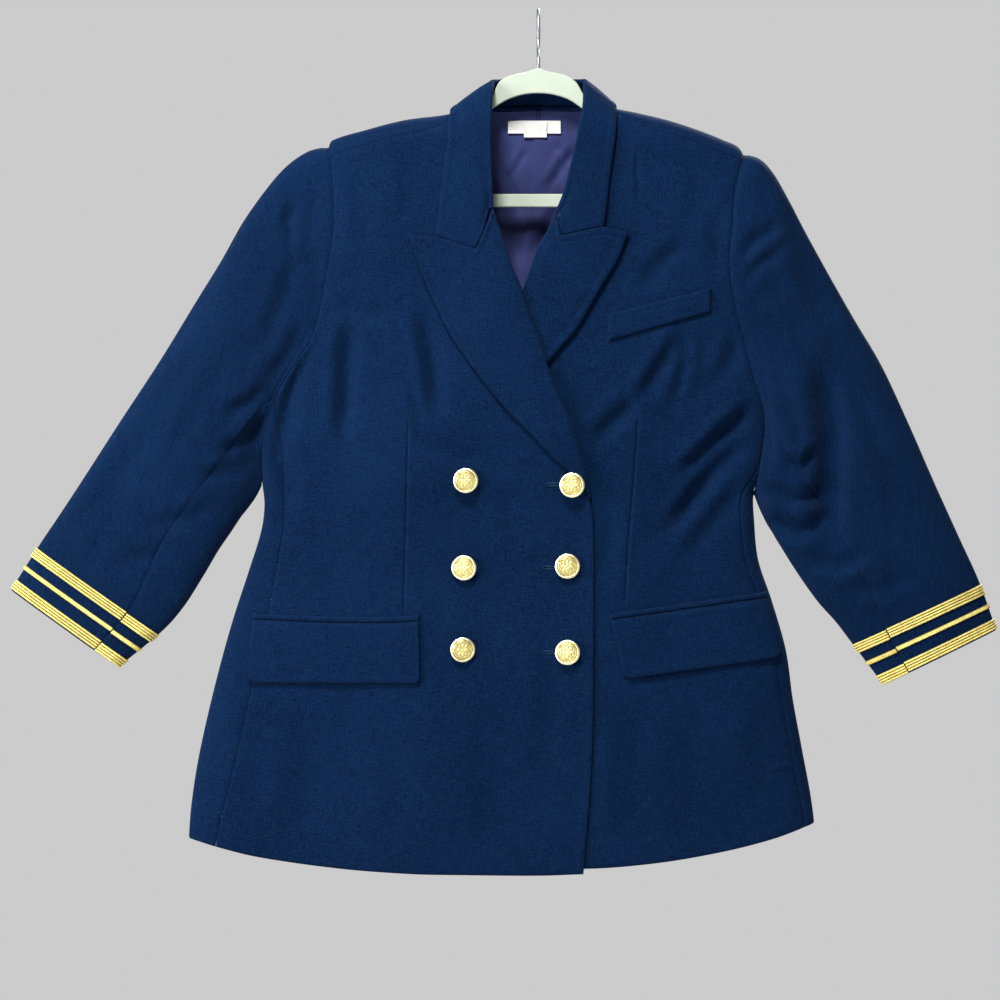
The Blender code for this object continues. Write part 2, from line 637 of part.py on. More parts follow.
def collar():
    """Collar in one piece: up the stand, over the fold and down the fall, round the neck."""
    top_rise = COLLAR_CLEAR + TWO_PLY

    def section(side, fold_at, outer_at, seam_at, at_gorge):
        crease = Vector(fold_at)
        edge = on_body(*outer_at, top_rise)
        foot = on_body(*seam_at, -CLOTH)
        foot += Vector((0, 0, 2.0)) if seam_at[2] > 0 else Vector((-side * 2.4, 0, 0))
        down, out = (foot - crease).normalized(), (edge - crease).normalized()
        inside = (down + out).normalized() * COLLAR_FOLD
        apart = (out - down).normalized() * COLLAR_FOLD
        points = [foot, crease + inside - apart, crease, crease + inside + apart]
        if at_gorge:
            shift = Vector((side * 0.35, 0.35))
            places = [Vector(place) + shift for place in GORGE[side][1:]]
            points += [on_body(place.x, place.y, -1, top_rise) for place in places]
        else:
            points += [points[3].lerp(edge, t) for t in FALL_SHARES]
        return points

    left = [section(-1, *row, row == COLLAR[-1][0]) for row in COLLAR[-1]]
    right = [section(1, *row, row == COLLAR[1][0]) for row in COLLAR[1]]
    sections = left + [section(1, *COLLAR_BACK, False)] + right[::-1]
    columns, rows = len(sections) - 1, len(sections[0]) - 1
    return cloth("collar", columns, rows, lambda i, j: sections[i][j], thick=TWO_PLY)


# ---------------------------------------------------------------- sleeves and cuff braid

def sleeve_station(side, station, mark):
    """Point of a sleeve's outer surface at a whole station and mark."""
    out_x, out_z, in_x, in_z, deep, seam_turn = SLEEVE[side][station]
    face = -1 if mark <= UNDERARM else 1
    turn = TURNS[mark if mark <= UNDERARM else RING - mark]
    first_seam = TURNS[SLEEVE_MARK]
    if turn <= first_seam:
        turn *= seam_turn / first_seam
    else:
        turn = 180 - (180 - turn) * (180 - seam_turn) / (180 - first_seam)
    across = (1 - math.cos(math.radians(turn))) / 2
    x, z = mix(out_x, in_x, across), mix(out_z, in_z, across)
    full = max(math.sin(math.radians(turn)), 0.0) ** SLEEVE_FULLNESS
    sunk = sum(fold(x, z, *row) for row in SLEEVE_FOLDS)
    y = face * max(deep - sunk, 0.3 * deep) * full
    if station < len(BOW_FADE):
        ring = ring_point(side, mark)
        fade = BOW_FADE[station]
        first = SLEEVE[side][0]
        x += (ring.x + side * SLEEVE_START - mix(first[0], first[2], across)) * fade
        z += (ring.z - mix(first[1], first[3], across)) * fade
        y = mix(y, ring.y, fade)
    return Vector((x, y, z))


def sleeve_point(side, station, mark):
    """Point of a sleeve between its stations and marks."""
    i = min(int(station), len(SLEEVE[side]) - 2)
    k = math.floor(mark)

    def at(whole):
        here = sleeve_station(side, whole, k % RING)
        return here.lerp(sleeve_station(side, whole, (k + 1) % RING), mark - k)

    return at(i).lerp(at(i + 1), station - i)


def sleeve_marks(upper):
    """Marks across the upper or under sleeve, with a narrow strip beside each seam."""
    first, last = (-SLEEVE_MARK, SLEEVE_MARK) if upper else (SLEEVE_MARK, RING - SLEEVE_MARK)
    inner = list(range(first + 1, last))
    return [first, first + 0.15] + inner + [last - 0.15, last]


def sleeve_place(side, upper, rise):
    """place(mark index, station) for a sleeve piece, moved out by rise."""
    marks = sleeve_marks(upper)

    def place(i, station):
        mark = marks[i]
        point = sleeve_point(side, station, mark)
        near = 0.3
        round_way = sleeve_point(side, station, mark + near) - sleeve_point(side, station, mark - near)
        down = sleeve_point(side, min(station + near, len(SLEEVE[side]) - 1), mark)
        down -= sleeve_point(side, max(station - near, 0), mark)
        normal = round_way.cross(down).normalized() * side
        if i in (0, len(marks) - 1):
            inside = marks[1] if i == 0 else marks[-2]
            point += (sleeve_point(side, station, inside) - point).normalized() * SLEEVE_SEAM
        return point + normal * rise

    return place, len(marks) - 1


def sleeve_piece(name, side, upper):
    """Upper or under sleeve, from the armhole to the cuff."""
    place, columns = sleeve_place(side, upper, 0)
    last = len(SLEEVE[side]) - 1

    def grid_place(i, j):
        return place(i, last - j)

    return cloth(name, columns, last, grid_place, inward=-side)


def cuff_braid(name, side, upper, span):
    """One row of braid on a cuff, moved out from the sleeve's own points."""
    place, columns = sleeve_place(side, upper, CLEAR + TRIM)
    last = len(SLEEVE[side]) - 1
    step = 0 if upper else UNDER_BRAID_STEP

    def grid_place(i, j):
        return place(i, last - 1 + mix(span[1], span[0], j) + step)

    return cloth(name, columns, 1, grid_place, "gold_braid", TRIM, inward=-side)


# ---------------------------------------------------------------- pockets, buttons and lining

def bent(points, t):
    """Place on a smooth line through three corners."""
    first, middle, last = (Vector(point) for point in points)
    pull = 2 * middle - (first + last) / 2
    return first * (1 - t) ** 2 + pull * 2 * t * (1 - t) + last * t**2


def flap_shares():
    """Shares along a flap, closer together at its ends."""
    return list(FLAP_ENDS) + [mix(FLAP_ENDS[-1], 1 - FLAP_ENDS[-1], k / 6) for k in range(1, 6)] \
        + [1 - t for t in FLAP_ENDS[::-1]]


def pocket_flap(name, side):
    """Flap with its lower corners rounded."""
    top, low = FLAP[side][:3], FLAP[side][3:]
    widths = flap_shares()
    width = math.dist(low[0], low[-1])

    def place(i, j):
        u = widths[i]
        upper, lower = bent(top, u), bent(low, u)
        from_end = min(u, 1 - u) * width
        if from_end < FLAP_CORNER:
            arc = FLAP_CORNER - math.sqrt(FLAP_CORNER**2 - (FLAP_CORNER - from_end) ** 2)
            lower += (upper - lower).normalized() * arc
        x, z = lower.lerp(upper, j / FLAP_ROWS)
        return on_front(x, z, side, LAYER + TWO_PLY)

    return cloth(name, len(widths) - 1, FLAP_ROWS, place, thick=TWO_PLY)


def pocket_jet(name, side):
    """Narrow jet above the flap."""
    widths = flap_shares()

    def place(i, j):
        x, z = bent(FLAP[side][:3], widths[i])
        return on_front(x, z + 0.5 + j * JET_HEIGHT, side, LAYER + CLOTH)

    return cloth(name, len(widths) - 1, 1, place)


def breast_welt():
    """Slanting welt of the breast pocket."""
    corners = [Vector(corner) for corner in WELT]

    def place(i, j):
        top, low = corners[0].lerp(corners[1], i / 5), corners[2].lerp(corners[3], i / 5)
        x, z = low.lerp(top, j / 2)
        return on_front(x, z, 1, LAYER + TWO_PLY)

    return cloth("breast_welt", 5, 2, place, thick=TWO_PLY)


def button(name, x, z):
    """Turned shank button on the overlapping front."""
    profile = bpy.data.meshes.new("button")
    points = [(radius * MM, 0, height * MM) for radius, height in BUTTON_PROFILE]
    profile.from_pydata(points, [(k, k + 1) for k in range(len(points) - 1)], [])
    piece = add(name, profile, "gold_metal")
    seat = on_front(x, z, -1, 0)
    outward = (on_front(x, z, -1, 1) - seat).normalized()
    piece.location = (seat + outward * (SHANK + CLEAR)) * MM
    piece.rotation_mode = "QUATERNION"
    piece.rotation_quaternion = outward.to_track_quat("Z", "Y")
    turn = piece.modifiers.new("turn", "SCREW")
    turn.steps = BUTTON_STEPS
    turn.render_steps = BUTTON_STEPS
    turn.use_merge_vertices = True
    turn.merge_threshold = 0.00001
    return piece


def lining_back():
    """Back lining inside the neck."""
    columns, rows = 8, 8

    def place(i, j):
        x = mix(-LINING_HALF, LINING_HALF, i / columns)
        top = over_shoulder(x, read(NECK, abs(x)) + 4).z
        low_share = (1 - j / rows) ** 1.7
        return on_body(x, mix(top, LINING_LOW_Z, low_share), 1, -(CLOTH + LINING_CLEAR))

    return cloth("lining_back", columns, rows, place, "lining", LINING, inward=-1)


def neck_label(name, bounds, depth_in):
    """Bare woven label inside the neck."""
    left, right, top, low = bounds

    def place(i, j):
        x, z = mix(left, right, i / 4), mix(low, top, j)
        return on_body(x, z, 1, -depth_in)

    return cloth(name, 4, 1, place, "label", LABEL, inward=-1)


# ---------------------------------------------------------------- hanger

def hanger():
    """Flat moulded hanger: arch, arms under the shoulders and the bar, in one plate."""
    def arm_top(x):
        return Vector((x, read(RIDGE, x) - CLOTH - ARM_CLEAR))

    arm_stops = (ARM_TIP - 3, 175, 150, 125, 100, 82)
    arm_left = [arm_top(-x) for x in arm_stops]
    arm_right = [arm_top(x) for x in arm_stops[::-1]]
    turn_down = 8.0
    tips = [Vector((ARM_TIP, arm_right[-1].y - turn_down)),
            Vector((ARM_TIP - 2, BAR_LOW_Z + BAR_CORNER)),
            Vector((ARM_TIP - 6, BAR_LOW_Z + 5)), Vector((ARM_TIP - 14, BAR_LOW_Z))]
    mirrored = [Vector((-tip.x, tip.y)) for tip in tips[::-1]]
    outer = arm_left + [Vector(p) for p in ARCH_TOP] + arm_right + tips + mirrored
    under_stops = (ARM_TIP - 20, 150, 125, 100, 82, NECK_HALF)
    under_left = [arm_top(-x) - Vector((0, ARM_DEEP)) for x in under_stops]
    under_right = [arm_top(x) - Vector((0, ARM_DEEP)) for x in under_stops[::-1]]
    low_corner = Vector((ARM_TIP - 17, BAR_TOP_Z))
    hole = under_left + [Vector(p) for p in ARCH_UNDER] + under_right
    hole += [low_corner, Vector((-low_corner.x, low_corner.y))]

    plate = bpy.data.curves.new("hanger", "CURVE")
    plate.dimensions = "2D"
    plate.fill_mode = "BOTH"
    plate.extrude = HANGER_THICK / 2 * MM
    for loop in (outer, hole):
        line = plate.splines.new("POLY")
        line.points.add(len(loop) - 1)
        line.use_cyclic_u = True
        for corner, place in zip(line.points, loop):
            corner.co = (place.x * MM, place.y * MM, 0, 1)
    piece = add("hanger", plate, "flocking")
    piece.rotation_euler = (math.pi / 2, 0, 0)
    return piece


def hanger_hook():
    """Wire hook, seen edge-on, from the arch's peak over to the front."""
    centre_z = -HOOK_RADIUS
    radius = HOOK_RADIUS + HOOK_WIRE / 2
    peak_z = max(height for _, height in ARCH_TOP)
    route = [(0.0, peak_z + CLEAR), (0.4, peak_z + 5), (2.8, peak_z + 10)]
    route += [(radius * math.cos(math.radians(a)), centre_z + radius * math.sin(math.radians(a)))
              for a in range(-68, 205, 13)]
    wire = bpy.data.curves.new("hanger_hook", "CURVE")
    wire.dimensions = "3D"
    wire.bevel_depth = HOOK_WIRE / 2 * MM
    wire.bevel_resolution = 2
    wire.use_fill_caps = True
    line = wire.splines.new("POLY")
    line.points.add(len(route) - 1)
    for corner, (y, z) in zip(line.points, route):
        corner.co = (0, y * MM, z * MM, 1)
    return add("hanger_hook", wire, "chrome")


# ---------------------------------------------------------------- the blazer

def main():
    """Build every piece."""
    for piece in list(bpy.data.objects):
        bpy.data.objects.remove(piece)
    blazer = bpy.data.collections.new("blazer")
    bpy.context.scene.collection.children.link(blazer)

    front("front_overlap", -1, 9)
    front("front_underlap", 1, 10)
    for side, word in ((-1, "left"), (1, "right")):
        back("back_" + word, side)
        side_panel("side_panel_" + word, side)
        lapel("lapel_" + word, side)
        for upper, part in ((True, "upper"), (False, "under")):
            sleeve_piece(part + "_sleeve_" + word, side, upper)
            for row, span in BRAIDS.items():
                cuff_braid("_".join(("cuff_braid", row, part, word)), side, upper, span)
        pocket_flap("pocket_flap_" + word, side)
        pocket_jet("pocket_jet_" + word, side)
    collar()
    breast_welt()
    for number, (x, z) in enumerate(BUTTONS, 1):
        button(f"button_{number}", x, z)
    lining_back()
    inside = CLOTH + LINING_CLEAR + LINING + LAYER
    neck_label("neck_label", NECK_LABEL, inside)
    neck_label("size_tab", SIZE_TAB, inside + LABEL + CLEAR)
    hanger()
    hanger_hook()


main()
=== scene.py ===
"""A double-breasted blazer with peak lapels on its flocked hanger.

Sizes are in millimetres and become metres where a mesh is written. X runs to the right as the
front is seen, Y to the back and Z up, and the origin is the inside top of the hanger's hook.
"Left" and "right" are as seen from the front: side is -1 on the left and 1 on the right, and
face is -1 on the front and 1 on the back.
"""

import logging
import math
from dataclasses import dataclass, field
from enum import Enum
from typing import Optional, Sequence

import bmesh
import bpy
import numpy as np
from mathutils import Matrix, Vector


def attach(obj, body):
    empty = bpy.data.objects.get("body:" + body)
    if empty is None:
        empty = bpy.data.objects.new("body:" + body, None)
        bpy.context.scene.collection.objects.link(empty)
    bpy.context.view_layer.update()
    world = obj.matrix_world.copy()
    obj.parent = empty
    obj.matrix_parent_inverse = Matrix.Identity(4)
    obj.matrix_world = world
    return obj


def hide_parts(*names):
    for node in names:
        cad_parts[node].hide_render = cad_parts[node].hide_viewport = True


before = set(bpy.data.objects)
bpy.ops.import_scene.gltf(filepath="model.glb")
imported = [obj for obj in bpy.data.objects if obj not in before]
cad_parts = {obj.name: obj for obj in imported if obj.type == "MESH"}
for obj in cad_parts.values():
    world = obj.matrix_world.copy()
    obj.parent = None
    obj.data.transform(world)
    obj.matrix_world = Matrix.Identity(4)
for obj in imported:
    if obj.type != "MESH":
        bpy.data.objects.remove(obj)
log = logging.getLogger("blazer")
MM = 0.001
BODY = "root"
Row = tuple[float, ...]
Array = np.ndarray
Places = np.ndarray
Colour = tuple[float, float, float]
Scale = tuple[float, float, float]
Socket = bpy.types.NodeSocket
Piece = bpy.types.Object
GRAIN_MAP = "grain"


class Side(Enum):
    """Side of the blazer as seen from the front."""

    LEFT = -1
    RIGHT = 1

    @property
    def word(self) -> str:
        """The side's word in the names of pieces."""
        return self.name.lower()


def kept(value: object) -> object:
    """Field of a dataclass that starts as a given table."""
    return field(default_factory=lambda: value)


# ---- curves through tables


def ease(t: Array) -> Array:
    """Smooth step from 0 to 1."""
    t = np.clip(t, 0.0, 1.0)
    return t * t * (3 - 2 * t)


def mix(a: Array, b: Array, t: Array) -> Array:
    """Value between a and b."""
    return a + (b - a) * t


def spline(t: Array, span: Array, values: Sequence[Array], slopes: Sequence[Array]) -> Array:
    """Cubic between two values with slopes, at a share t of the span between them."""
    return (
        values[0] * (2 * t**3 - 3 * t**2 + 1)
        + slopes[0] * span * (t**3 - 2 * t**2 + t)
        + values[1] * (3 * t**2 - 2 * t**3)
        + slopes[1] * span * (t**3 - t**2)
    )


class Curve:
    """Smooth line through the rows of a table, read at its first column."""

    def __init__(self, *rows: Row) -> None:
        """Sort the rows and find the slope at each.

        Args:
            rows: pairs of a key and a value.
        """
        table = np.array(sorted(rows), float)
        self.keys, self.values = table[:, 0], table[:, 1]
        before = np.maximum(np.arange(len(table)) - 1, 0)
        after = np.minimum(np.arange(len(table)) + 1, len(table) - 1)
        gaps = self.keys[after] - self.keys[before]
        self.slopes = (self.values[after] - self.values[before]) / gaps

    def __call__(self, key: Array) -> Array:
        """Value at a key, level beyond the ends.

        Args:
            key: one key or an array of them.

        Returns:
            The values, in the key's shape.
        """
        key = np.clip(key, self.keys[0], self.keys[-1])
        i = np.clip(np.searchsorted(self.keys, key, side="right") - 1, 0, len(self.keys) - 2)
        span = self.keys[i + 1] - self.keys[i]
        ends = [(table[i], table[i + 1]) for table in (self.values, self.slopes)]
        return spline((key - self.keys[i]) / span, span, *ends)


def smooth_line(points: Sequence[Row], share: Array) -> Array:
    """Places on a smooth line through points, at shares of its length.

    Args:
        points: corners of the line, in any number of dimensions.
        share: shares of the length, 0 to 1.

    Returns:
        One place for each share.
    """
    corners = np.array(points, float)
    steps = np.linalg.norm(np.diff(corners, axis=0), axis=1)
    stops = np.concatenate([[0], np.cumsum(steps)]) / steps.sum()
    share = np.asarray(share, float)
    return np.stack([Curve(*zip(stops, column))(share) for column in corners.T], axis=-1)


def packed(low: float, high: float, count: int, tight: float = 0.6) -> Array:
    """Numbers from low to high, closer together at both ends.

    Args:
        low: first number.
        high: last number.
        count: how many steps.
        tight: 0 for even steps, 1 for the closest ends.

    Returns:
        count + 1 numbers.
    """
    t = np.linspace(0, 1, count + 1)
    return low + (high - low) * mix(t, (1 - np.cos(math.pi * t)) / 2, tight)


def edge_drop(distance: Array, deep: float, wide: float) -> Array:
    """How far a turned edge or a seam sinks at a distance from it."""
    return deep * np.exp(-((np.asarray(distance) / wide) ** 2))


# How deep and how wide cloth sinks along a seam, a hem and the seam at its top edge.
SEAM = (0.9, 1.5)
HEM = (0.7, 0.9)
TOP_SEAM = (0.7, 1.4)
LINE_SINK = (0.75, 1.0)


# ---- soft folds


@dataclass(frozen=True)
class Crease:
    """A soft trough with a low ridge beside it.

    The line runs through places given as x and height; deep and wide are the trough's depth and
    half width, and lip is the height of the ridge on the line's right as it runs.
    """

    line: tuple[Row, ...]
    deep: float
    wide: float
    lip: float = 0.0

    def rise(self, x: Array, z: Array) -> Array:
        """Height that the crease adds at places, below zero in the trough."""
        corners = np.array(self.line, float)
        runs = np.diff(corners, axis=0)
        lengths = np.linalg.norm(runs, axis=1)
        before = np.concatenate([[0], np.cumsum(lengths)])
        near = np.full(np.shape(x), 1e9)
        beside = np.zeros(np.shape(x))
        share = np.zeros(np.shape(x))
        for (from_x, from_z), (run_x, run_z), length, start in zip(corners, runs, lengths, before):
            t = np.clip(((x - from_x) * run_x + (z - from_z) * run_z) / length**2, 0, 1)
            off_x, off_z = x - from_x - t * run_x, z - from_z - t * run_z
            away = np.hypot(off_x, off_z)
            closer = away < near
            near = np.where(closer, away, near)
            beside = np.where(closer, (off_x * run_z - off_z * run_x) / length, beside)
            share = np.where(closer, (start + t * length) / before[-1], share)
        signed = np.copysign(near, beside)
        fade = ease(share / 0.3) * ease((1 - share) / 0.3)
        trough = -self.deep * np.exp(-((near / self.wide) ** 2))
        ridge = self.lip * np.exp(-(((signed - 1.7 * self.wide) / (0.9 * self.wide)) ** 2))
        return fade * (trough + ridge)


def unevenness(x: Array, z: Array, shift: float) -> Array:
    """Slow waves that keep hung cloth from lying perfectly even, in millimetres."""
    return (
        0.45 * np.sin(x / 31 + 0.6 * np.sin(z / 47 + shift) + shift)
        + 0.35 * np.sin(z / 38 + 0.8 * np.sin(x / 43 + 2 * shift) - shift)
        + 0.25 * np.sin((x + z) / 23 + 3 * shift)
    )


def creases_from(*rows: Row) -> tuple[Crease, ...]:
    """Creases from rows of three places and then the depth, the half width and the lip."""
    return tuple(Crease((row[0:2], row[2:4], row[4:6]), *row[6:]) for row in rows)


FRONT_CREASES = creases_from(
    (-184, -290, -186, -341, -190, -431, 6.7, 9, 3.2),
    (-200, -282, -172, -294, -143, -304, 3.2, 9, 1.7),
    (-118, -282, -104, -331, -96, -407, 5.5, 9, 2.9),
    (-124, -353, -118, -390, -112, -425, 2.1, 6, 0.9),
    (-124, -415, -90, -431, -47, -444, 3.5, 8, 1.7),
    (-224, -296, -240, -356, -254, -440, 7.6, 10, 2.2),
    (-266, -412, -252, -446, -236, -490, 6.2, 10, 2.0),
    (-264, -478, -243, -507, -204, -536, 2.9, 10, 1.4),
    (-169, -145, -172, -184, -165, -245, 1.7, 12, 0.9),
    (-131, -136, -126, -175, -131, -212, 1.1, 9, 0.6),
    (-200, -222, -165, -224, -129, -222, 0.6, 3, 0.3),
    (-233, -448, -204, -517, -194, -575, 1.7, 14, 0.8),
    (-233, -673, -221, -741, -233, -820, 2.1, 18, 1.0),
    (-145, -673, -131, -751, -139, -831, 1.7, 18, 1.0),
    (-57, -673, -42, -751, -49, -837, 1.6, 18, 0.9), (6, -575, 13, -673, 6, -761, 1.5, 12, 0.7),
    (-18, -448, -26, -497, -16, -536, 1.4, 10, 0.7), (-38, -497, -8, -509, 17, -505, 1.1, 8, 0.6),
    (-116, -536, -96, -575, -100, -614, 1.3, 11, 0.6),
    (-282, -663, -270, -732, -287, -805, 1.6, 14, 0.9),
    (216, -382, 179, -415, 134, -460, 6.4, 8, 3.8), (209, -417, 173, -448, 123, -517, 4.9, 9, 2.9),
    (205, -458, 170, -501, 134, -542, 3.2, 10, 1.7), (148, -308, 123, -343, 95, -388, 4.6, 8, 2.3),
    (99, -380, 76, -399, 50, -425, 4.9, 9, 2.3), (148, -311, 142, -347, 130, -392, 2.9, 6, 1.4),
    (164, -311, 162, -353, 148, -397, 1.8, 7, 0.9), (148, -224, 123, -245, 95, -272, 3.2, 9, 1.4),
    (199, -311, 187, -343, 164, -376, 2.9, 9, 1.4), (96, -128, 96, -155, 98, -188, 1.0, 2.6, 0.6),
    (148, -136, 158, -175, 152, -220, 1.4, 12, 0.8), (179, -181, 173, -224, 177, -263, 1.4, 9, 0.7),
    (64, -448, 72, -507, 66, -565, 1.5, 9, 0.7), (226, -663, 216, -722, 228, -785, 1.6, 13, 0.9),
    (158, -663, 148, -741, 158, -815, 2.0, 18, 1.0), (99, -673, 91, -741, 99, -820, 1.4, 16, 0.8),
)
BACK_CREASES = creases_from(
    (-205, -395, -150, -470, -90, -560, 5.8, 10, 3.2),
    (-222, -440, -170, -520, -130, -600, 4.3, 10, 2.3),
    (200, -405, 140, -480, 80, -560, 5.8, 10, 3.2), (192, -455, 150, -530, 110, -600, 4.1, 10, 2.3),
    (-120, -190, -60, -214, 40, -206, 1.5, 14, 0.9), (-60, -480, 0, -500, 70, -486, 1.4, 16, 0.9),
    (-180, -640, -150, -730, -160, -815, 1.8, 20, 1.1),
    (150, -650, 130, -740, 140, -818, 1.7, 20, 1.0),
    (-40, -640, -52, -740, -46, -826, 1.3, 20, 0.7),
)
LEFT_SLEEVE_CREASES = creases_from(
    (-237, -181, -245, -206, -237, -233, 3.8, 6, 1.7),
    (-215, -165, -221, -214, -215, -272, 1.8, 8, 0.8),
    (-233, -233, -249, -282, -270, -333, 3.2, 9, 1.4),
    (-227, -300, -241, -333, -274, -372, 3.2, 8, 1.7),
    (-260, -364, -282, -384, -309, -397, 4.6, 8, 2.3),
    (-260, -392, -280, -419, -315, -440, 6.1, 9, 2.9),
    (-270, -431, -294, -448, -335, -458, 4.1, 8, 2.0),
    (-286, -311, -327, -380, -366, -448, 2.1, 12, 1.4),
    (-305, -233, -340, -292, -380, -360, 1.7, 11, 1.0),
    (-311, -478, -344, -497, -380, -501, 2.9, 9, 1.4),
    (-380, -399, -417, -458, -448, -517, 1.7, 12, 1.0),
    (-354, -524, -389, -536, -425, -536, 1.7, 9, 0.9),
    (-399, -478, -428, -517, -438, -550, 1.3, 9, 0.6),
)
RIGHT_SLEEVE_CREASES = creases_from(
    (193, -245, 212, -224, 240, -206, 4.9, 6, 2.9), (195, -267, 216, -247, 244, -233, 3.8, 6, 2.0),
    (199, -288, 224, -278, 248, -282, 1.8, 7, 0.9), (218, -233, 246, -282, 267, -331, 2.1, 9, 1.1),
    (268, -320, 287, -409, 283, -534, 8.4, 15, 3.4), (274, -426, 257, -447, 232, -436, 6.4, 7, 2.9),
    (216, -462, 248, -477, 284, -474, 9.0, 7, 3.6), (222, -494, 252, -508, 286, -499, 5.6, 8, 2.4),
    (232, -380, 252, -403, 261, -431, 2.9, 7, 1.4), (302, -360, 334, -429, 359, -497, 2.1, 11, 1.1),
    (244, -172, 262, -235, 284, -318, 4.2, 15, 1.2), (255, -536, 291, -542, 326, -528, 3.5, 8, 1.7),
    (297, -565, 334, -565, 373, -550, 2.1, 8, 1.1), (246, -233, 281, -302, 314, -364, 1.4, 11, 0.8),
    (334, -536, 353, -565, 353, -579, 1.1, 8, 0.6),
)


def creased(creases: Sequence[Crease], x: Array, z: Array, shift: float) -> Array:
    """Height that a set of creases and the cloth's unevenness add at places."""
    return sum((crease.rise(x, z) for crease in creases), unevenness(x, z, shift))


# ---- the body's form


@dataclass
class BodyForm:
    """The hung body that every panel lies on, as one surface for each face."""

    shoulder_roll: float = 24.0
    fullness: float = 2.8
    cloth: float = 1.6
    two_ply: float = 2.4
    layer: float = 0.8
    skirt_z: float = -640.0
    neck_half: float = 68.0
    neck_seam_below: float = 3.5
    feel: float = 0.5
    lift_run: float = 90.0
    lift_start: float = 100.0
    lift_top_z: float = -203.0
    lift_drop: float = 73.0
    lapel_end_z: float = -458.0
    lapel_fade: float = 25.0
    shoulder_turn: float = 19.0
    side_turn: dict[int, float] = kept({-1: 119.0, 1: 146.0})
    back_seam_inset: float = 30.0
    seam_run: float = 50.0
    front_depth: Curve = kept(Curve(
        (-850, 26), (-640, 27), (-500, 27), (-400, 30), (-300, 31), (-200, 27), (-80, 20)))
    back_depth: Curve = kept(Curve(
        (-850, 20), (-640, 20), (-500, 17), (-400, 20), (-300, 24), (-200, 25), (-80, 20)))
    ridge: Curve = kept(Curve(
        (-206, -133), (-202, -126), (-170, -116), (-131, -106), (-87, -100), (-66, -93),
        (-38, -85), (0, -80), (38, -85), (66, -93), (92, -98), (126, -106), (157, -116),
        (182, -126), (195, -132), (201, -140)))
    neck: Curve = kept(Curve(
        (0, 24.5), (20, 23), (38, 19), (53, 12), (62, 3), (68, -10)))
    edge: dict[int, Curve] = kept({
        -1: Curve((-133, -253), (-205, -256), (-266, -264), (-321, -270), (-372, -275),
                  (-406, -275), (-438, -272), (-462, -270), (-482, -268), (-507, -271),
                  (-546, -283), (-595, -299), (-653, -315), (-722, -331), (-771, -339),
                  (-808, -342), (-830, -342)),
        1: Curve((-140, 248), (-213, 241), (-269, 234), (-321, 231), (-386, 231), (-405, 229),
                 (-438, 223), (-458, 216), (-470, 210.5), (-497, 211), (-536, 215),
                 (-575, 228), (-624, 242), (-673, 249), (-722, 258), (-771, 267), (-808, 271),
                 (-830, 271))})
    seam_inset: dict[int, Curve] = kept({
        -1: Curve((-427, 22), (-480, 19), (-521, 23), (-585, 32), (-659, 37), (-737, 37),
                  (-815, 27)),
        1: Curve((-470, 13), (-575, 12), (-633, 11), (-750, 11), (-810, 10))})
    armhole: dict[int, Curve] = kept({
        -1: Curve((-133, -206), (-141, -203), (-179, -200), (-205, -199), (-232, -202),
                  (-266, -208), (-297, -214), (-321, -222), (-346, -238), (-372, -254),
                  (-406, -267), (-438, -270.5), (-462, -270)),
        1: Curve((-140, 201), (-158, 196), (-181, 191), (-213, 189), (-242, 186), (-269, 188),
                 (-297, 194), (-321, 200), (-358, 210), (-386, 218.5), (-405, 221), (-438, 217),
                 (-470, 210.5))})
    front_edge: dict[int, Curve] = kept({
        -1: Curve((-104, -69), (-126, -60), (-155, -54), (-189, -51), (-213, -45.5),
                  (-251, -31), (-289, -16), (-320, -4), (-345, 4), (-373, 15), (-397, 24),
                  (-424, 34), (-453, 42.5), (-474, 49), (-497, 53), (-575, 54), (-693, 53),
                  (-750, 50), (-802, 45), (-842, 41)),
        1: Curve((-104, 69), (-126, 56), (-150, 45), (-175, 34), (-196, 25), (-214, 16),
                 (-235, 4), (-271, -9), (-311, -27), (-355, -46), (-399, -65), (-438, -83),
                 (-458, -89.5), (-478, -92), (-575, -93), (-693, -93), (-840, -91))})
    front_hem: dict[int, Curve] = kept({
        -1: Curve((-342, -808), (-315, -816), (-273, -826), (-193, -837), (-124, -842),
                  (-77, -843), (0, -843.5), (45, -842)),
        1: Curve((-95, -834), (43, -837), (112, -832), (178, -821), (230, -808), (271, -793))})
    back_hem: Curve = kept(Curve(
        (-342, -808), (-300, -815), (-200, -824), (0, -828), (180, -815), (271, -793)))
    front_folds: tuple[Row, ...] = (
        (212, -398, 96, -540, 3.2, 20), (205, -452, 120, -590, 2.4, 20),
        (160, -330, 110, -430, 2.0, 22), (-190, -370, -188, -440, 2.2, 20),
        (-235, -380, -180, -470, 2.0, 18), (-104, -300, -100, -400, 1.6, 20))
    back_folds: tuple[Row, ...] = (
        (-205, -400, -90, -560, 2.8, 22), (200, -410, 80, -560, 2.8, 22),
        (-150, -300, -120, -420, 2.0, 22), (140, -300, 110, -430, 2.0, 22))

    @staticmethod
    def broad_fold(x: Array, z: Array, row: Row) -> Array:
        """Depth of one broad trough at places; a row gives its ends, depth and half width."""
        from_x, from_z, to_x, to_z, deep, wide = row
        run_x, run_z = to_x - from_x, to_z - from_z
        t = ((x - from_x) * run_x + (z - from_z) * run_z) / (run_x**2 + run_z**2)
        across = np.hypot(x - from_x - t * run_x, z - from_z - t * run_z)
        fade = deep * ease((t + 0.15) / 0.4) * ease((1.15 - t) / 0.4)
        return fade * np.exp(-((across / wide) ** 2))

    def half_span(self, z: Array) -> tuple[Array, Array]:
        """Middle and half width of the body's outline at heights."""
        left, right = self.edge[-1](z), self.edge[1](z)
        return (left + right) / 2, (right - left) / 2

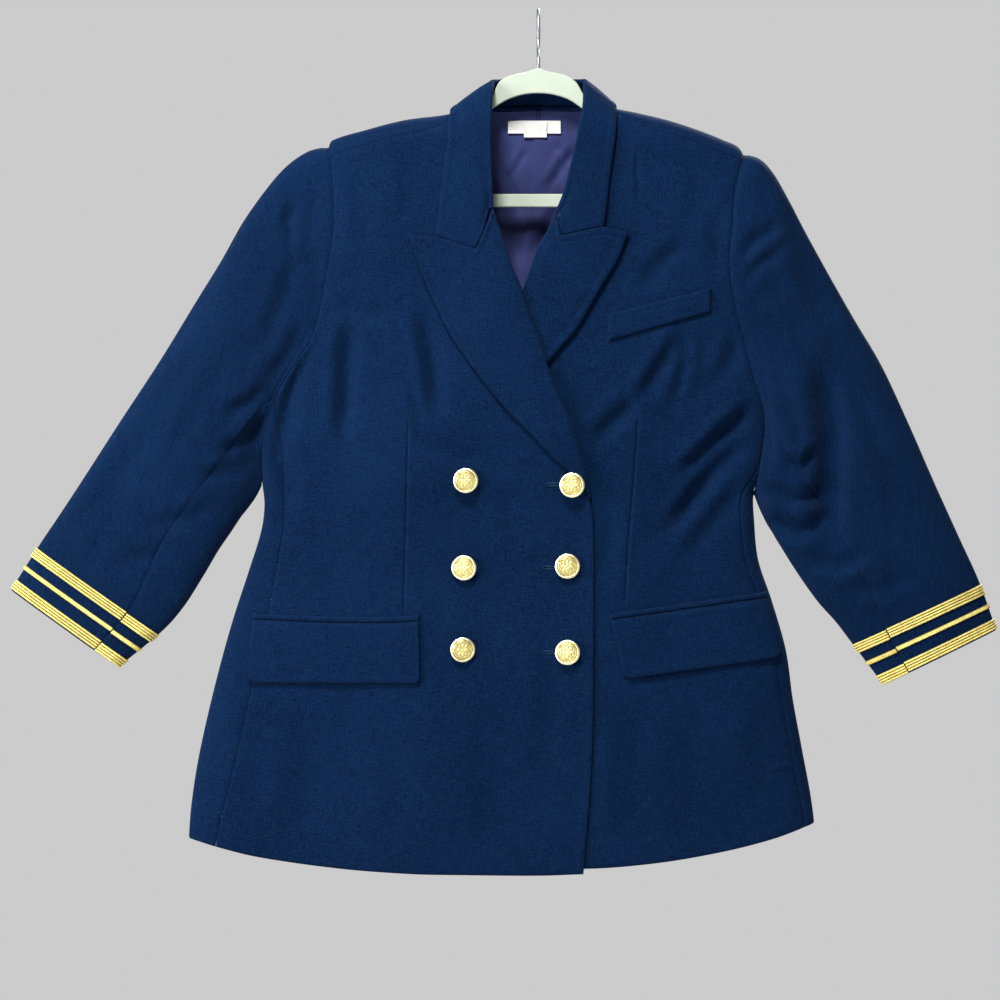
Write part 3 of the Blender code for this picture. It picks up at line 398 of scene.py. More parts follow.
    def shell(self, x: Array, z: Array, face: Array) -> Places:
        """Places on the outer surface, front or back, without its small creases.

        Args:
            x: distances to the right.
            z: heights.
            face: -1 on the front and 1 on the back, one number or an array.

        Returns:
            Places as x, y, z.
        """
        x, z, face = np.broadcast_arrays(np.asarray(x, float), z, face)
        middle, half = self.half_span(z)
        across = np.minimum(np.abs(x - middle) / half, 1.0)
        below = np.clip((self.ridge(x) - z) / self.shoulder_roll, 0.0, 1.0)
        full = (1 - across**self.fullness) ** (1 / self.fullness) * np.sqrt(1 - (1 - below) ** 2)
        front_sunk = sum(self.broad_fold(x, z, row) for row in self.front_folds)
        back_sunk = sum(self.broad_fold(x, z, row) for row in self.back_folds)
        full = full * np.where(face < 0, self.front_depth(z), self.back_depth(z))
        sunk = np.where(face < 0, front_sunk, back_sunk)
        return np.stack([x, face * (full - np.minimum(sunk, 0.3 * full)), z], axis=-1)

    def over_shoulder(self, x: Array, run: Array) -> Places:
        """Places at distances from the ridge round the shoulder, below zero on the front."""
        turn = np.minimum(np.abs(run) / self.shoulder_roll, math.pi / 2)
        past = np.maximum(np.abs(run) - self.shoulder_roll * math.pi / 2, 0)
        below = self.shoulder_roll * (1 - np.cos(turn)) + past
        return self.shell(x, self.ridge(x) - below, np.where(run < 0, -1, 1))

    def run_at(self, x: Array, z: Array, face: Array) -> Array:
        """Distances from the ridge round the shoulder to heights."""
        below = np.maximum(self.ridge(x) - z, 0.0)
        bent = self.shoulder_roll * np.arccos(np.clip(1 - below / self.shoulder_roll, -1, 1))
        straight = self.shoulder_roll * (math.pi / 2 - 1) + below
        return face * np.where(below < self.shoulder_roll, bent, straight)

    def along_run(self, x: Array, run: Array, rise: Array) -> Places:
        """Places over the shoulder, moved out along the surface's normal.

        Args:
            x: distances to the right.
            run: distances from the ridge, below zero on the front.
            rise: how far out, with the creases counted on top of it.

        Returns:
            Places as x, y, z.
        """
        step = self.feel
        place = self.over_shoulder(x, run)
        right = self.over_shoulder(x + step, run) - self.over_shoulder(x - step, run)
        up = self.over_shoulder(x, run + step) - self.over_shoulder(x, run - step)
        normal = np.cross(right, up)
        normal /= np.linalg.norm(normal, axis=-1, keepdims=True)
        share = ease(np.abs(run) / 60.0)
        fold = self.fold_rise(place[..., 0], place[..., 2], np.where(run < 0, -1, 1))
        return place + normal * (rise + share * fold)[..., None]

    def fold_rise(self, x: Array, z: Array, face: Array) -> Array:
        """Height that the folds add; they fade out at the sides and at the armholes."""
        middle, half = self.half_span(z)
        share = ease((half - np.abs(x - middle) - 4) / 16)
        for table in self.armhole.values():
            bottom = np.maximum(table.keys[0] - z, 0)
            share = share * ease(np.hypot(x - table(z), bottom) / 13)
        front, back = creased(FRONT_CREASES, x, z, 0.0), creased(BACK_CREASES, x, z, 1.3)
        return share * np.where(face < 0, front, back)

    def on_body(self, x: Array, z: Array, face: Array, rise: Array = 0.0) -> Places:
        """Places at heights on one face, moved out along the normal."""
        x, z = np.broadcast_arrays(np.asarray(x, float), z)
        return self.along_run(x, self.run_at(x, z, face), rise)

    def lift(self, x: Array, z: Array) -> Array:
        """How far the overlapping front rides out over the underlap and its lapel."""
        over = ease((x - self.front_edge[1](z) + self.lift_start) / self.lift_run)
        over = over * ease((self.lift_top_z - z) / self.lift_drop)
        lapel = ease((z - self.lapel_end_z + self.lapel_fade) / self.lapel_fade)
        return over * (self.cloth + self.layer + lapel * (self.two_ply + self.layer))

    def on_front(self, x: Array, z: Array, side: int, rise: Array = 0.0) -> Places:
        """Places on a front's outer face, moved out along the normal."""
        places = self.on_body(x, z, -1, rise)
        if side < 0:
            places[..., 1] -= self.lift(x, z)
        return places

    def armhole_at(self, side: int, turn: Array) -> tuple[Array, Array]:
        """Places on the armhole, x and height, at turns in degrees from the ridge down."""
        table = self.armhole[side]
        across = (1 - np.cos(np.radians(np.abs(turn)))) / 2
        z = mix(table.keys[-1], table.keys[0], across)
        return table(z), z

    def seam_x(self, z: Array, side: int, face: int) -> Array:
        """Where a side panel's front or back seam runs; it starts at the armhole."""
        start_x, start_z = self.armhole_at(side, self.side_turn[side])
        start = abs(self.edge[side](start_z) - start_x)
        inset = self.seam_inset[side](z) if face < 0 else self.back_seam_inset
        return self.edge[side](z) - side * mix(start, inset, ease((start_z - z) / self.seam_run))

    def hem(self, x: Array, side: int, face: int) -> Array:
        """Height of the hem."""
        return self.back_hem(x) if face > 0 else self.front_hem[side](x)

    def row_z(self, row: float, x: Array, side: int, face: int) -> Array:
        """Heights of a row below the armhole: 0 at the hem, 1 at the skirt line, 2 at the top."""
        if row <= 1:
            return mix(self.hem(x, side, face), self.skirt_z, row)
        top_z = self.armhole_at(side, self.side_turn[side])[1]
        return mix(self.skirt_z, top_z, row - 1) + 0 * x

    def seam_place(self, row: float, side: int, face: int) -> tuple[float, float]:
        """Place where a row meets the side seam."""
        x = self.edge[side](-700.0)
        for _ in range(8):
            x = self.seam_x(self.row_z(row, x, side, face), side, face)
        return float(x), float(self.row_z(row, x, side, face))

    def shoulder_seam(self, x: Array, side: int) -> Array:
        """Height of the shoulder seam, which drops from the ridge at the neck onto the front."""
        end_x, end_z = self.armhole_at(side, self.shoulder_turn)
        out = (x - side * self.neck_half) / (end_x - side * self.neck_half)
        below = mix(self.neck_seam_below, self.ridge(end_x) - end_z, ease(out * 2.5))
        return self.ridge(x) - below


FORM = BodyForm()


# ---- finishes


class Recipe:
    """The node tree of one finish, put together step by step."""

    def __init__(self, name: str) -> None:
        """Start a material with its Principled shader.

        Args:
            name: the material's name.
        """
        self.material = bpy.data.materials.new(name)
        self.material.use_nodes = True
        self.tree = self.material.node_tree
        self.surface = self.tree.nodes["Principled BSDF"]

    def feed(self, node: bpy.types.Node, socket: str | int, value: object) -> None:
        """Link an output to a socket, or set the socket's own value.

        Args:
            node: the node with the socket.
            socket: the socket's name or number.
            value: an output socket, a number, a vector or a colour.
        """
        if isinstance(value, Socket):
            self.tree.links.new(value, node.inputs[socket])
        else:
            node.inputs[socket].default_value = value

    def plain(self, **values: object) -> None:
        """Set the shader's own sockets; an underscore stands for a space."""
        for socket, value in values.items():
            self.feed(self.surface, socket.replace("_", " ").title().replace("Ior", "IOR"), value)

    def maths(self, operation: str, a: object, b: object = 0.0, c: object = 0.0) -> Socket:
        """Output of a Math node.

        Args:
            operation: the node's operation.
            a: first number or socket.
            b: second number or socket.
            c: third number or socket.

        Returns:
            The result's socket.
        """
        node = self.tree.nodes.new("ShaderNodeMath")
        node.operation = operation
        for k, value in enumerate((a, b, c)):
            self.feed(node, k, value)
        return node.outputs[0]

    def fit(self, value: Socket, gain: object, shift: object) -> Socket:
        """Value times a gain plus a shift."""
        return self.maths("MULTIPLY_ADD", value, gain, shift)

    def add(self, a: object, b: object) -> Socket:
        """Sum of two values."""
        return self.maths("ADD", a, b)

    def times(self, a: object, b: object) -> Socket:
        """Product of two values."""
        return self.maths("MULTIPLY", a, b)

    def colour(self, value: object) -> None:
        """Give the surface its colour."""
        self.feed(self.surface, "Base Color", value)

    def roughness(self, value: object) -> None:
        """Give the surface its roughness."""
        self.feed(self.surface, "Roughness", value)

    def grain(self) -> Socket:
        """Coordinates of the flat cloth, in metres."""
        node = self.tree.nodes.new("ShaderNodeUVMap")
        node.uv_map = GRAIN_MAP
        return node.outputs[0]

    def solid(self) -> Socket:
        """Coordinates in the object's own space."""
        return self.tree.nodes.new("ShaderNodeTexCoord").outputs["Object"]

    def split(self, vector: Socket) -> Sequence[Socket]:
        """The parts of a vector."""
        node = self.tree.nodes.new("ShaderNodeSeparateXYZ")
        self.feed(node, 0, vector)
        return node.outputs

    def noise(self, where: Socket, scale: float | Scale, detail: float = 2.0) -> Socket:
        """Noise between 0 and 1.

        Args:
            where: the coordinates.
            scale: how many cells in a metre, along every axis or each of them.
            detail: octaves of detail.

        Returns:
            The noise's socket.
        """
        spread = self.tree.nodes.new("ShaderNodeMapping")
        self.feed(spread, "Vector", where)
        spread.inputs["Scale"].default_value = scale if isinstance(scale, tuple) else (scale,) * 3
        node = self.tree.nodes.new("ShaderNodeTexNoise")
        node.inputs["Scale"].default_value = 1.0
        node.inputs["Detail"].default_value = detail
        self.feed(node, "Vector", spread.outputs[0])
        return node.outputs["Fac"]

    def between(self, share: object, low: object, high: object) -> Socket:
        """Number between two others at a share."""
        return self.maths("MULTIPLY_ADD", share, self.maths("SUBTRACT", high, low), low)

    def tint(self, share: object, low: object, high: object) -> Socket:
        """Colour between two others at a share."""
        node = self.tree.nodes.new("ShaderNodeMix")
        node.data_type = "RGBA"
        node.clamp_factor = True
        self.feed(node, 0, share)
        for socket, value in ((6, low), (7, high)):
            self.feed(node, socket, (*value, 1.0) if isinstance(value, tuple) else value)
        return node.outputs[2]

    def relief(self, height: Socket, deep: float, strength: float = 1.0) -> None:
        """Bump from a height between 0 and 1.

        Args:
            height: the height's socket.
            deep: depth of the relief in metres.
            strength: the bump's strength.
        """
        node = self.tree.nodes.new("ShaderNodeBump")
        node.inputs["Strength"].default_value = strength
        node.inputs["Distance"].default_value = deep
        self.feed(node, "Height", height)
        self.feed(self.surface, "Normal", node.outputs[0])

    def plain_weave(self, where: Socket, pitch: float) -> Socket:
        """Height of a plain weave, each thread over one and under the next."""
        u, v, _ = self.split(where)
        across, down = self.maths("DIVIDE", u, pitch), self.maths("DIVIDE", v, pitch)
        warp = self.maths("ABSOLUTE", self.maths("SINE", self.times(across, math.pi)))
        weft = self.maths("ABSOLUTE", self.maths("SINE", self.times(down, math.pi)))
        cells = self.add(self.maths("FLOOR", across), self.maths("FLOOR", down))
        over = self.maths("PINGPONG", cells, 1.0)
        return self.between(over, self.times(warp, 0.8), weft)


class Slot(Enum):
    """Material slots of the record."""

    NAVY = "navy_weave"
    LINING = "lining"
    LABEL = "label"
    BRAID = "gold_braid"
    METAL = "gold_metal"
    FLOCK = "flocking"
    CHROME = "chrome"


class Finish:
    """A finish that becomes one material."""

    def paint(self, make: Recipe) -> None:
        """Put the finish's nodes together with a new material's recipe."""
        raise NotImplementedError

    def dress(self, name: str) -> bpy.types.Material:
        """Make the material.

        Args:
            name: the material's name.

        Returns:
            The new material.
        """
        make = Recipe(name)
        self.paint(make)
        return make.material


@dataclass(frozen=True)
class LinenWeave(Finish):
    """Navy plain weave with slubs along both threads and a low sheen."""

    deep: Colour = (0.0003, 0.0052, 0.0225)
    pale: Colour = (0.0029, 0.0172, 0.0605)
    pitch: float = 0.00062
    rough: float = 0.78
    sheen: float = 0.035
    slub_weft: Scale = (90.0, 1300.0, 1.0)
    slub_warp: Scale = (1400.0, 80.0, 1.0)
    cloudy: Scale = (9.0, 7.0, 9.0)
    rumple: Scale = (60.0, 85.0, 60.0)
    fibre: Scale = (560.0, 600.0, 560.0)

    def paint(self, make: Recipe) -> None:
        """Put the finish's nodes together.

        Args:
            make: the new material's recipe.
        """
        where, solid = make.grain(), make.solid()
        weave = make.plain_weave(where, self.pitch)
        weft, warp = make.noise(where, self.slub_weft, 3.0), make.noise(where, self.slub_warp, 3.0)
        slubs = make.add(make.times(weft, 0.55), make.times(warp, 0.45))
        sharp = make.fit(make.maths("SUBTRACT", slubs, 0.5), 2.2, 0.43)
        cloud = make.noise(solid, self.cloudy, 2.0)
        fibre = make.noise(solid, self.fibre, 2.0)
        tone = make.add(sharp, make.fit(cloud, 0.5, -0.25))
        tone = make.add(tone, make.fit(fibre, 1.5, -0.75))
        tone = make.add(tone, make.fit(weave, 0.24, -0.14))
        make.colour(make.tint(tone, self.deep, self.pale))
        make.roughness(make.fit(slubs, -0.2, self.rough + 0.1))
        make.plain(sheen_weight=self.sheen, sheen_roughness=0.45, sheen_tint=(0.42, 0.62, 1.0, 1.0))
        make.plain(specular_ior_level=0.03)
        rumple = make.noise(solid, self.rumple, 3.0)
        height = make.add(make.times(weave, 0.16), make.times(sharp, 0.12))
        make.relief(make.add(height, make.times(rumple, 0.9)), 0.0010, 0.85)


@dataclass(frozen=True)
class LiningSatin(Finish):
    """Purple-blue lining satin, smooth along one thread, with soft rumples whose hollows are
    painted darker as painted shade.
    """

    deep: Colour = (0.005, 0.008, 0.032)
    pale: Colour = (0.033, 0.044, 0.160)
    rough: float = 0.55
    thread: Scale = (2600.0, 40.0, 1.0)
    rumple: Scale = (26.0, 26.0, 15.0)

    def paint(self, make: Recipe) -> None:
        """Put the finish's nodes together.

        Args:
            make: the new material's recipe.
        """
        threads = make.noise(make.grain(), self.thread, 2.0)
        rumple = make.noise(make.solid(), self.rumple, 3.0)
        # Painted shade: the rumple noise that raises the bump also darkens the colour in its
        # hollows.
        tone = make.add(make.times(threads, 0.4), make.fit(rumple, 1.5, -0.45))
        make.colour(make.tint(tone, self.deep, self.pale))
        make.roughness(make.fit(threads, 0.18, self.rough - 0.05))
        make.plain(sheen_weight=0.06, sheen_roughness=0.3, sheen_tint=(0.5, 0.52, 1.0, 1.0))
        make.plain(specular_ior_level=0.16)
        height = make.add(make.times(threads, 0.05), rumple)
        make.relief(height, 0.0016, 0.8)


@dataclass(frozen=True)
class GoldCord(Finish):
    """Pale gold cord wound over a core, each turn catching the light, with painted shade in the
    grooves between the cords.
    """

    deep: Colour = (0.42, 0.30, 0.045)
    pale: Colour = (0.92, 0.77, 0.23)
    # Colour of the painted shade in the grooves between the cords.
    groove: Colour = (0.075, 0.062, 0.010)
    pitch: float = 0.0028
    turns: float = 950.0
    slant: float = 0.55
    rough: float = 0.42
    metal: float = 0.35

    def paint(self, make: Recipe) -> None:
        """Put the finish's nodes together.

        Args:
            make: the new material's recipe.
        """
        where, solid = make.grain(), make.solid()
        u, v, _ = make.split(where)
        wound = make.add(u, make.times(v, self.slant))
        turns = make.maths("SINE", make.times(wound, 2 * math.pi * self.turns))
        wind = make.fit(turns, 0.5, 0.5)
        patch = make.noise(solid, 90.0, 3.0)
        tone = make.add(make.times(wind, 0.4), make.times(patch, 0.9))
        # Painted shade: across each cord the colour falls to the groove colour where two cords
        # meet.
        groove_shade_mask = make.maths("ABSOLUTE", make.maths("SINE", make.times(v, math.pi / self.pitch)))
        colour = make.tint(tone, self.deep, self.pale)
        node = make.tint(make.fit(groove_shade_mask, 2.1, -0.35), self.groove, colour)
        make.colour(node)
        make.roughness(make.fit(patch, 0.25, self.rough - 0.1))
        make.plain(metallic=self.metal, sheen_weight=0.05, sheen_roughness=0.4)
        make.relief(wind, 0.0003, 0.8)


@dataclass(frozen=True)
class GiltMetal(Finish):
    """Pale gold plate, darker the lower a place lies on the button, with a painted highlight round
    the rim.
    """

    deep: Colour = (0.42, 0.33, 0.08)
    pale: Colour = (0.95, 0.82, 0.35)
    # Pale colour of the painted highlight round the rim.
    worn: Colour = (0.97, 0.91, 0.66)
    rough: float = 0.4

    def paint(self, make: Recipe) -> None:
        """Put the finish's nodes together.

        Args:
            make: the new material's recipe.
        """
        solid = make.solid()
        blotch = make.noise(solid, 260.0, 3.0)
        x, y, height = make.split(solid)
        # Darker the lower a place lies on the button, paler on top of the dome.
        height_tone = make.fit(height, 700.0, -1.55)
        tone = make.add(height_tone, make.times(blotch, 0.6))
        plate = make.tint(tone, self.deep, self.pale)
        # Painted highlight: from about 9.9 mm out, the colour turns pale towards the rim.
        radius = make.maths("SQRT", make.fit(x, x, make.times(y, y)))
        rubbed_and_rim_highlit = make.tint(make.fit(radius, 700.0, -6.9), plate, self.worn)
        make.colour(rubbed_and_rim_highlit)
        make.roughness(make.fit(blotch, 0.22, self.rough - 0.08))
        make.plain(metallic=1.0)
        make.relief(make.noise(solid, 1500.0, 2.0), 0.00004, 0.6)


@dataclass(frozen=True)
class Flocking(Finish):
    """Ivory flock: short fibres that scatter light at the edges."""

    deep: Colour = (0.29, 0.335, 0.275)
    pale: Colour = (0.38, 0.43, 0.355)

    def paint(self, make: Recipe) -> None:
        """Put the finish's nodes together.

        Args:
            make: the new material's recipe.
        """
        solid = make.solid()
        fibres = make.noise(solid, 2400.0, 2.0)
        rubbed_and_rim_highlit = make.noise(solid, 45.0, 3.0)
        tone = make.add(make.times(fibres, 0.4), make.times(rubbed_and_rim_highlit, 0.7))
        make.colour(make.tint(tone, self.deep, self.pale))
        make.roughness(make.fit(fibres, 0.1, 0.86))
        make.plain(sheen_weight=0.5, sheen_roughness=0.5)
        make.relief(fibres, 0.00012, 0.7)


@dataclass(frozen=True)
class PolishedWire(Finish):
    """Bright plated wire with fine drawn lines along it; its colour is kept dark and patchy as
    painted reflection of dark surroundings.
    """

    deep: Colour = (0.20, 0.21, 0.22)
    pale: Colour = (0.36, 0.37, 0.39)

    def paint(self, make: Recipe) -> None:
        """Put the finish's nodes together.

        Args:
            make: the new material's recipe.
        """
        # Painted reflection: dark, patchy colour stands in for the dark surroundings that plated
        # wire reflects.
        dark_reflection_patches = make.noise(make.solid(), 140.0, 3.0)
        make.colour(make.tint(dark_reflection_patches, self.deep, self.pale))
        make.roughness(make.fit(dark_reflection_patches, 0.12, 0.44))
        make.plain(metallic=1.0)
        make.relief(make.noise(make.solid(), (900.0, 900.0, 60.0), 2.0), 0.000008, 0.3)


@dataclass(frozen=True)
class WovenTape(Finish):
    """Off-white label tape with fine ribs across it."""

    deep: Colour = (0.58, 0.58, 0.56)
    pale: Colour = (0.78, 0.78, 0.76)
    rib: float = 0.0007

    def paint(self, make: Recipe) -> None:
        """Put the finish's nodes together.

        Args:
            make: the new material's recipe.
        """
        where = make.grain()
        ribs = make.plain_weave(where, self.rib)
        worn = make.noise(make.solid(), 120.0, 3.0)
        tone = make.add(make.times(ribs, 0.5), make.times(worn, 0.6))
        make.colour(make.tint(tone, self.deep, self.pale))
        make.roughness(make.fit(worn, 0.2, 0.6))
        make.relief(ribs, 0.0002, 0.7)


@dataclass(frozen=True)
class SewingThread(Finish):
    """Twisted thread of one colour."""

    colour: Colour = (0.011, 0.036, 0.095)
    twist: float = 1400.0

    def paint(self, make: Recipe) -> None:
        """Put the finish's nodes together.

        Args:
            make: the new material's recipe.
        """
        x, y, z = make.split(make.solid())
        along = make.add(make.add(x, z), y)
        turns = make.maths("SINE", make.times(along, 2 * math.pi * self.twist))
        share = make.fit(turns, 0.5, 0.5)
        dark = tuple(0.4 * value for value in self.colour)
        make.colour(make.tint(share, dark, self.colour))
        make.plain(roughness=0.8, specular_ior_level=0.05)
        make.relief(share, 0.0001, 0.7)


# ---- the workshop


def places_at(*parts: Array) -> Places:
    """Places from their x, y and z arrays."""
    return np.stack(np.broadcast_arrays(*parts), axis=-1).astype(float)


def normals_of(places: Places) -> Places:
    """Unit normals of a grid of places, columns across rows."""
    normal = np.cross(np.gradient(places, axis=1), np.gradient(places, axis=0))
    return normal / np.maximum(np.linalg.norm(normal, axis=-1, keepdims=True), 1e-9)


def paced(places: Places, axis: int) -> Array:
    """Distance walked over a grid along one axis, in millimetres."""
    steps = np.linalg.norm(np.diff(places, axis=axis), axis=-1)
    start = np.zeros_like(np.take(steps, [0], axis=axis))
    return np.cumsum(np.concatenate([start, steps], axis=axis), axis=axis)


def mesh_of(name: str, places: Places, corners: Sequence[Array]) -> bpy.types.Mesh:
    """Smooth mesh of a grid of places in millimetres, from the four corners of its faces."""
    mesh = bpy.data.meshes.new(name)
    faces = np.stack(corners, axis=-1).reshape(-1, 4).tolist()
    mesh.from_pydata((places.reshape(-1, 3) * MM).tolist(), [], faces)
    mesh.shade_smooth()
    return mesh


def shown(name: str, data: bpy.types.ID) -> Piece:
    """New object in the scene that shows a mesh, curve, light or camera."""
    thing = bpy.data.objects.new(name, data)
    bpy.context.scene.collection.objects.link(thing)
    return thing


@dataclass
class Workshop:
    """Keeps one material of each finish and turns places into pieces of the blazer."""

    finishes: dict[Slot, Finish] = kept({
        Slot.NAVY: LinenWeave(), Slot.LINING: LiningSatin(), Slot.LABEL: WovenTape(),
        Slot.BRAID: GoldCord(), Slot.METAL: GiltMetal(), Slot.FLOCK: Flocking(),
        Slot.CHROME: PolishedWire()})
    thread: Finish = SewingThread()
    tuck: float = 3.2
    sharp: float = 50.0
    dressed: dict[str, bpy.types.Material] = field(default_factory=dict)

    def material(self, slot: Slot) -> bpy.types.Material:
        """Material of a slot's finish, made once."""
        if slot.value not in self.dressed:
            self.dressed[slot.value] = self.finishes[slot].dress(slot.value + "_finish")
        return self.dressed[slot.value]

    def sewing_thread(self) -> bpy.types.Material:
        """Material of the sewing thread, made once."""
        if "thread" not in self.dressed:
            self.dressed["thread"] = self.thread.dress("thread_finish")
        return self.dressed["thread"]

    def keep(self, name: str, data: bpy.types.ID, slot: Slot, nodes: Sequence[str] = ()) -> Piece:
        """Put a mesh or curve in the scene as a piece that rides on the body.

        Args:
            name: the piece's name.
            data: its mesh or curve.
            slot: the record's slot that it takes its finish from.
            nodes: the solids that it stands for.

        Returns:
            The new piece.
        """
        piece = shown(name, data)
        if not data.materials:
            data.materials.append(self.material(slot))
        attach(piece, BODY)
        if nodes:
            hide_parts(*nodes)
        log.info("%s made", name)
        return piece

    def grid_mesh(self, name: str, places: Places, grain: Optional[Array] = None) -> bpy.types.Mesh:
        """Mesh of a grid of places, with the flat cloth's coordinates.

        Args:
            name: the mesh's name.
            places: rows of columns of places, in millimetres.
            grain: the same grid's places on the flat cloth; x and height where left out.

        Returns:
            The new mesh.
        """
        flat = places[..., [0, 2]] if grain is None else grain
        index = np.arange(places[..., 0].size).reshape(places.shape[:2])
        corners = (index[:-1, :-1], index[:-1, 1:], index[1:, 1:], index[1:, :-1])
        mesh = mesh_of(name, places, corners)
        layer = mesh.uv_layers.new(name=GRAIN_MAP)
        loops = np.zeros(len(mesh.loops), np.int64)
        mesh.loops.foreach_get("vertex_index", loops)
        layer.data.foreach_set("uv", (flat.reshape(-1, 2)[loops] * MM).astype(np.float32).ravel())
        return mesh

    def cloth(self, node: str, places: Places, thick: float, grow: int, slot: Slot = Slot.NAVY,
              grain: Optional[Array] = None, inner: Optional[Slot] = None, tucks: str = "",
              ending: str = "_cloth") -> Piece:
        """Wall of cloth behind its outer face.

        Args:
            node: the solid that it stands for.
            places: grid of the outer face.
            thick: the wall's thickness.
            grow: -1 where the wall grows against the grid's normal and 1 along it.
            slot: the outer finish.
            grain: the grid's places on the flat cloth.
            inner: finish of the inner face where it differs.
            tucks: edges whose seam allowance turns in, of "bottom top first last".
            ending: what the piece's name adds to the solid's.

        Returns:
            The new piece.
        """
        grain = places[..., [0, 2]] if grain is None else grain
        if grow > 0:
            places, grain = places[:, ::-1], grain[:, ::-1]
        if tucks:
            first, last = ("last", "first") if grow > 0 else ("first", "last")
            pairs = (("bottom", "top"), (first, last))
            pad = tuple((int(low in tucks), int(high in tucks)) for low, high in pairs)
            inside = np.pad(np.zeros(places.shape[:2]), pad, constant_values=self.tuck)
            normal = np.pad(normals_of(places), (*pad, (0, 0)), mode="edge")
            places = np.pad(places, (*pad, (0, 0)), mode="edge") - normal * inside[..., None]
            grain = np.pad(grain, (*pad, (0, 0)), mode="edge")
        mesh = self.grid_mesh(node + ending, places, grain)
        mesh.materials.append(self.material(slot))
        if inner:
            mesh.materials.append(self.material(inner))
        piece = self.keep(node + ending, mesh, slot, (node,))
        wall = piece.modifiers.new("wall", "SOLIDIFY")
        wall.thickness = thick * MM
        wall.offset = -1
        wall.material_offset = 1 if inner else 0
        wall.material_offset_rim = 0
        mesh.set_sharp_from_angle(angle=math.radians(self.sharp))
        return piece


# ---- fronts, back and side panels


@dataclass
class Maker:
    """Makes pieces of one kind on the body's form, in the workshop."""

    shop: Workshop
    form: BodyForm = kept(FORM)


@dataclass
class Fronts(Maker):
    """Both fronts, from side seam and armhole to the free edge, with a dart in each."""

    names: dict[int, str] = kept({-1: "front_overlap", 1: "front_underlap"})
    rows: tuple[int, int, int] = (50, 54, 74)
    columns: tuple[int, int] = (42, 56)
    dart: dict[int, Curve] = kept({
        -1: Curve((-845, -137), (-584, -131.4), (-390.6, -126.5), (-120, -122)),
        1: Curve((-845, 76), (-571, 84.5), (-388.7, 97.2), (-120, 104))})
    dart_ends: dict[int, Row] = kept({
        -1: (-596.0, -391.0), 1: (-580.0, -389.0)})
    dart_sink: tuple[float, float] = (1.3, 1.1)
    dart_swell: tuple[float, float] = (0.2, 2.6)
    hem_fold: float = 28.0
    bulk: float = 0.35
    bulk_wide: float = 8.0
    gap: float = 0.15

    def rows_of(self, side: int) -> list[tuple[float, float, bool]]:
        """Rows from the hem up: height share or armhole turn, and whether it is a ring row."""
        low, skirt, ring = self.rows
        rows = [(row, 0.0, False) for row in packed(0, 1, low, 0.5)]
        rows += [(row, 0.0, False) for row in np.linspace(1, 2, skirt + 1)[1:-1]]
        turns = np.linspace(self.form.side_turn[side], self.form.shoulder_turn, ring + 1)
        return rows + [(0.0, turn, True) for turn in turns]

    def line(self, side: int, row: float, turn: float, ring: bool) -> tuple[Array, Array]:
        """One row's columns.

        Args:
            side: the front's side.
            row: share up the skirt, below the armhole.
            turn: turn round the armhole, beside it.
            ring: True beside the armhole.

        Returns:
            x and height of each column.
        """
        form = self.form
        edge, dart = form.front_edge[side], self.dart[side]
        low_z = form.armhole_at(side, form.side_turn[side])[1]
        top_z = form.armhole_at(side, form.shoulder_turn)[1]
        neck_z = form.shoulder_seam(side * form.neck_half, side)
        outer_gap = -0.6 if ring else self.gap
        if ring:
            outer_x, outer_z = form.armhole_at(side, turn)
            rise = (outer_z - low_z) / (top_z - low_z)
            inner_z = mix(low_z, neck_z, rise)
        else:
            outer_x, outer_z = form.seam_place(row, side, -1)
            inner_z = outer_z
        outer_x -= side * outer_gap
        inner_x = edge(inner_z)
        middle = (dart((outer_z + inner_z) / 2) - outer_x) / (inner_x - outer_x)
        share = np.concatenate([packed(0, middle, self.columns[0], 0.8),
                                packed(middle, 1, self.columns[1], 0.8)[1:]])
        x = mix(outer_x, inner_x, share)
        if ring:
            bend = form.shoulder_seam(x, side) - self.gap - mix(top_z, neck_z, share)
            return x, mix(outer_z, inner_z, share) + bend * rise**2
        return x, form.row_z(row, x, side, -1)

    def build(self, side: Side) -> None:
        """Make one front.

        Args:
            side: which front.
        """
        s = side.value
        x, z = (np.array(part) for part in zip(*(self.line(s, *row) for row in self.rows_of(s))))
        outer, inner = np.abs(x - x[:, :1]), np.abs(x - x[:, -1:])
        low, high = self.dart_ends[s]
        stretch = ease((z - low) / 14) * ease((high + 6 - z) / 26)
        beside = x - self.dart[s](z)
        rise = -edge_drop(outer, *SEAM)
        rise -= edge_drop(beside, *self.dart_sink) * stretch
        rise += edge_drop(beside - 3.2, *self.dart_swell) * stretch
        rise -= edge_drop(inner, *HEM)
        rise += self.bulk * ease((self.bulk_wide - inner) / 2.5)
        hem = z - self.form.hem(x, s, -1)
        rise -= edge_drop(hem, *HEM)
        rise += 0.25 * ease((self.hem_fold - hem) / 4) * ease(hem / 6)
        rise -= edge_drop(z[-1:] - z, *TOP_SEAM)
        places = self.form.on_front(x, z, s, rise)
        if s > 0:
            places = places[:, ::-1]
        self.shop.cloth(self.names[s], places, self.form.cloth, -1, inner=Slot.LINING,
                        tucks="top first" if s < 0 else "top last")


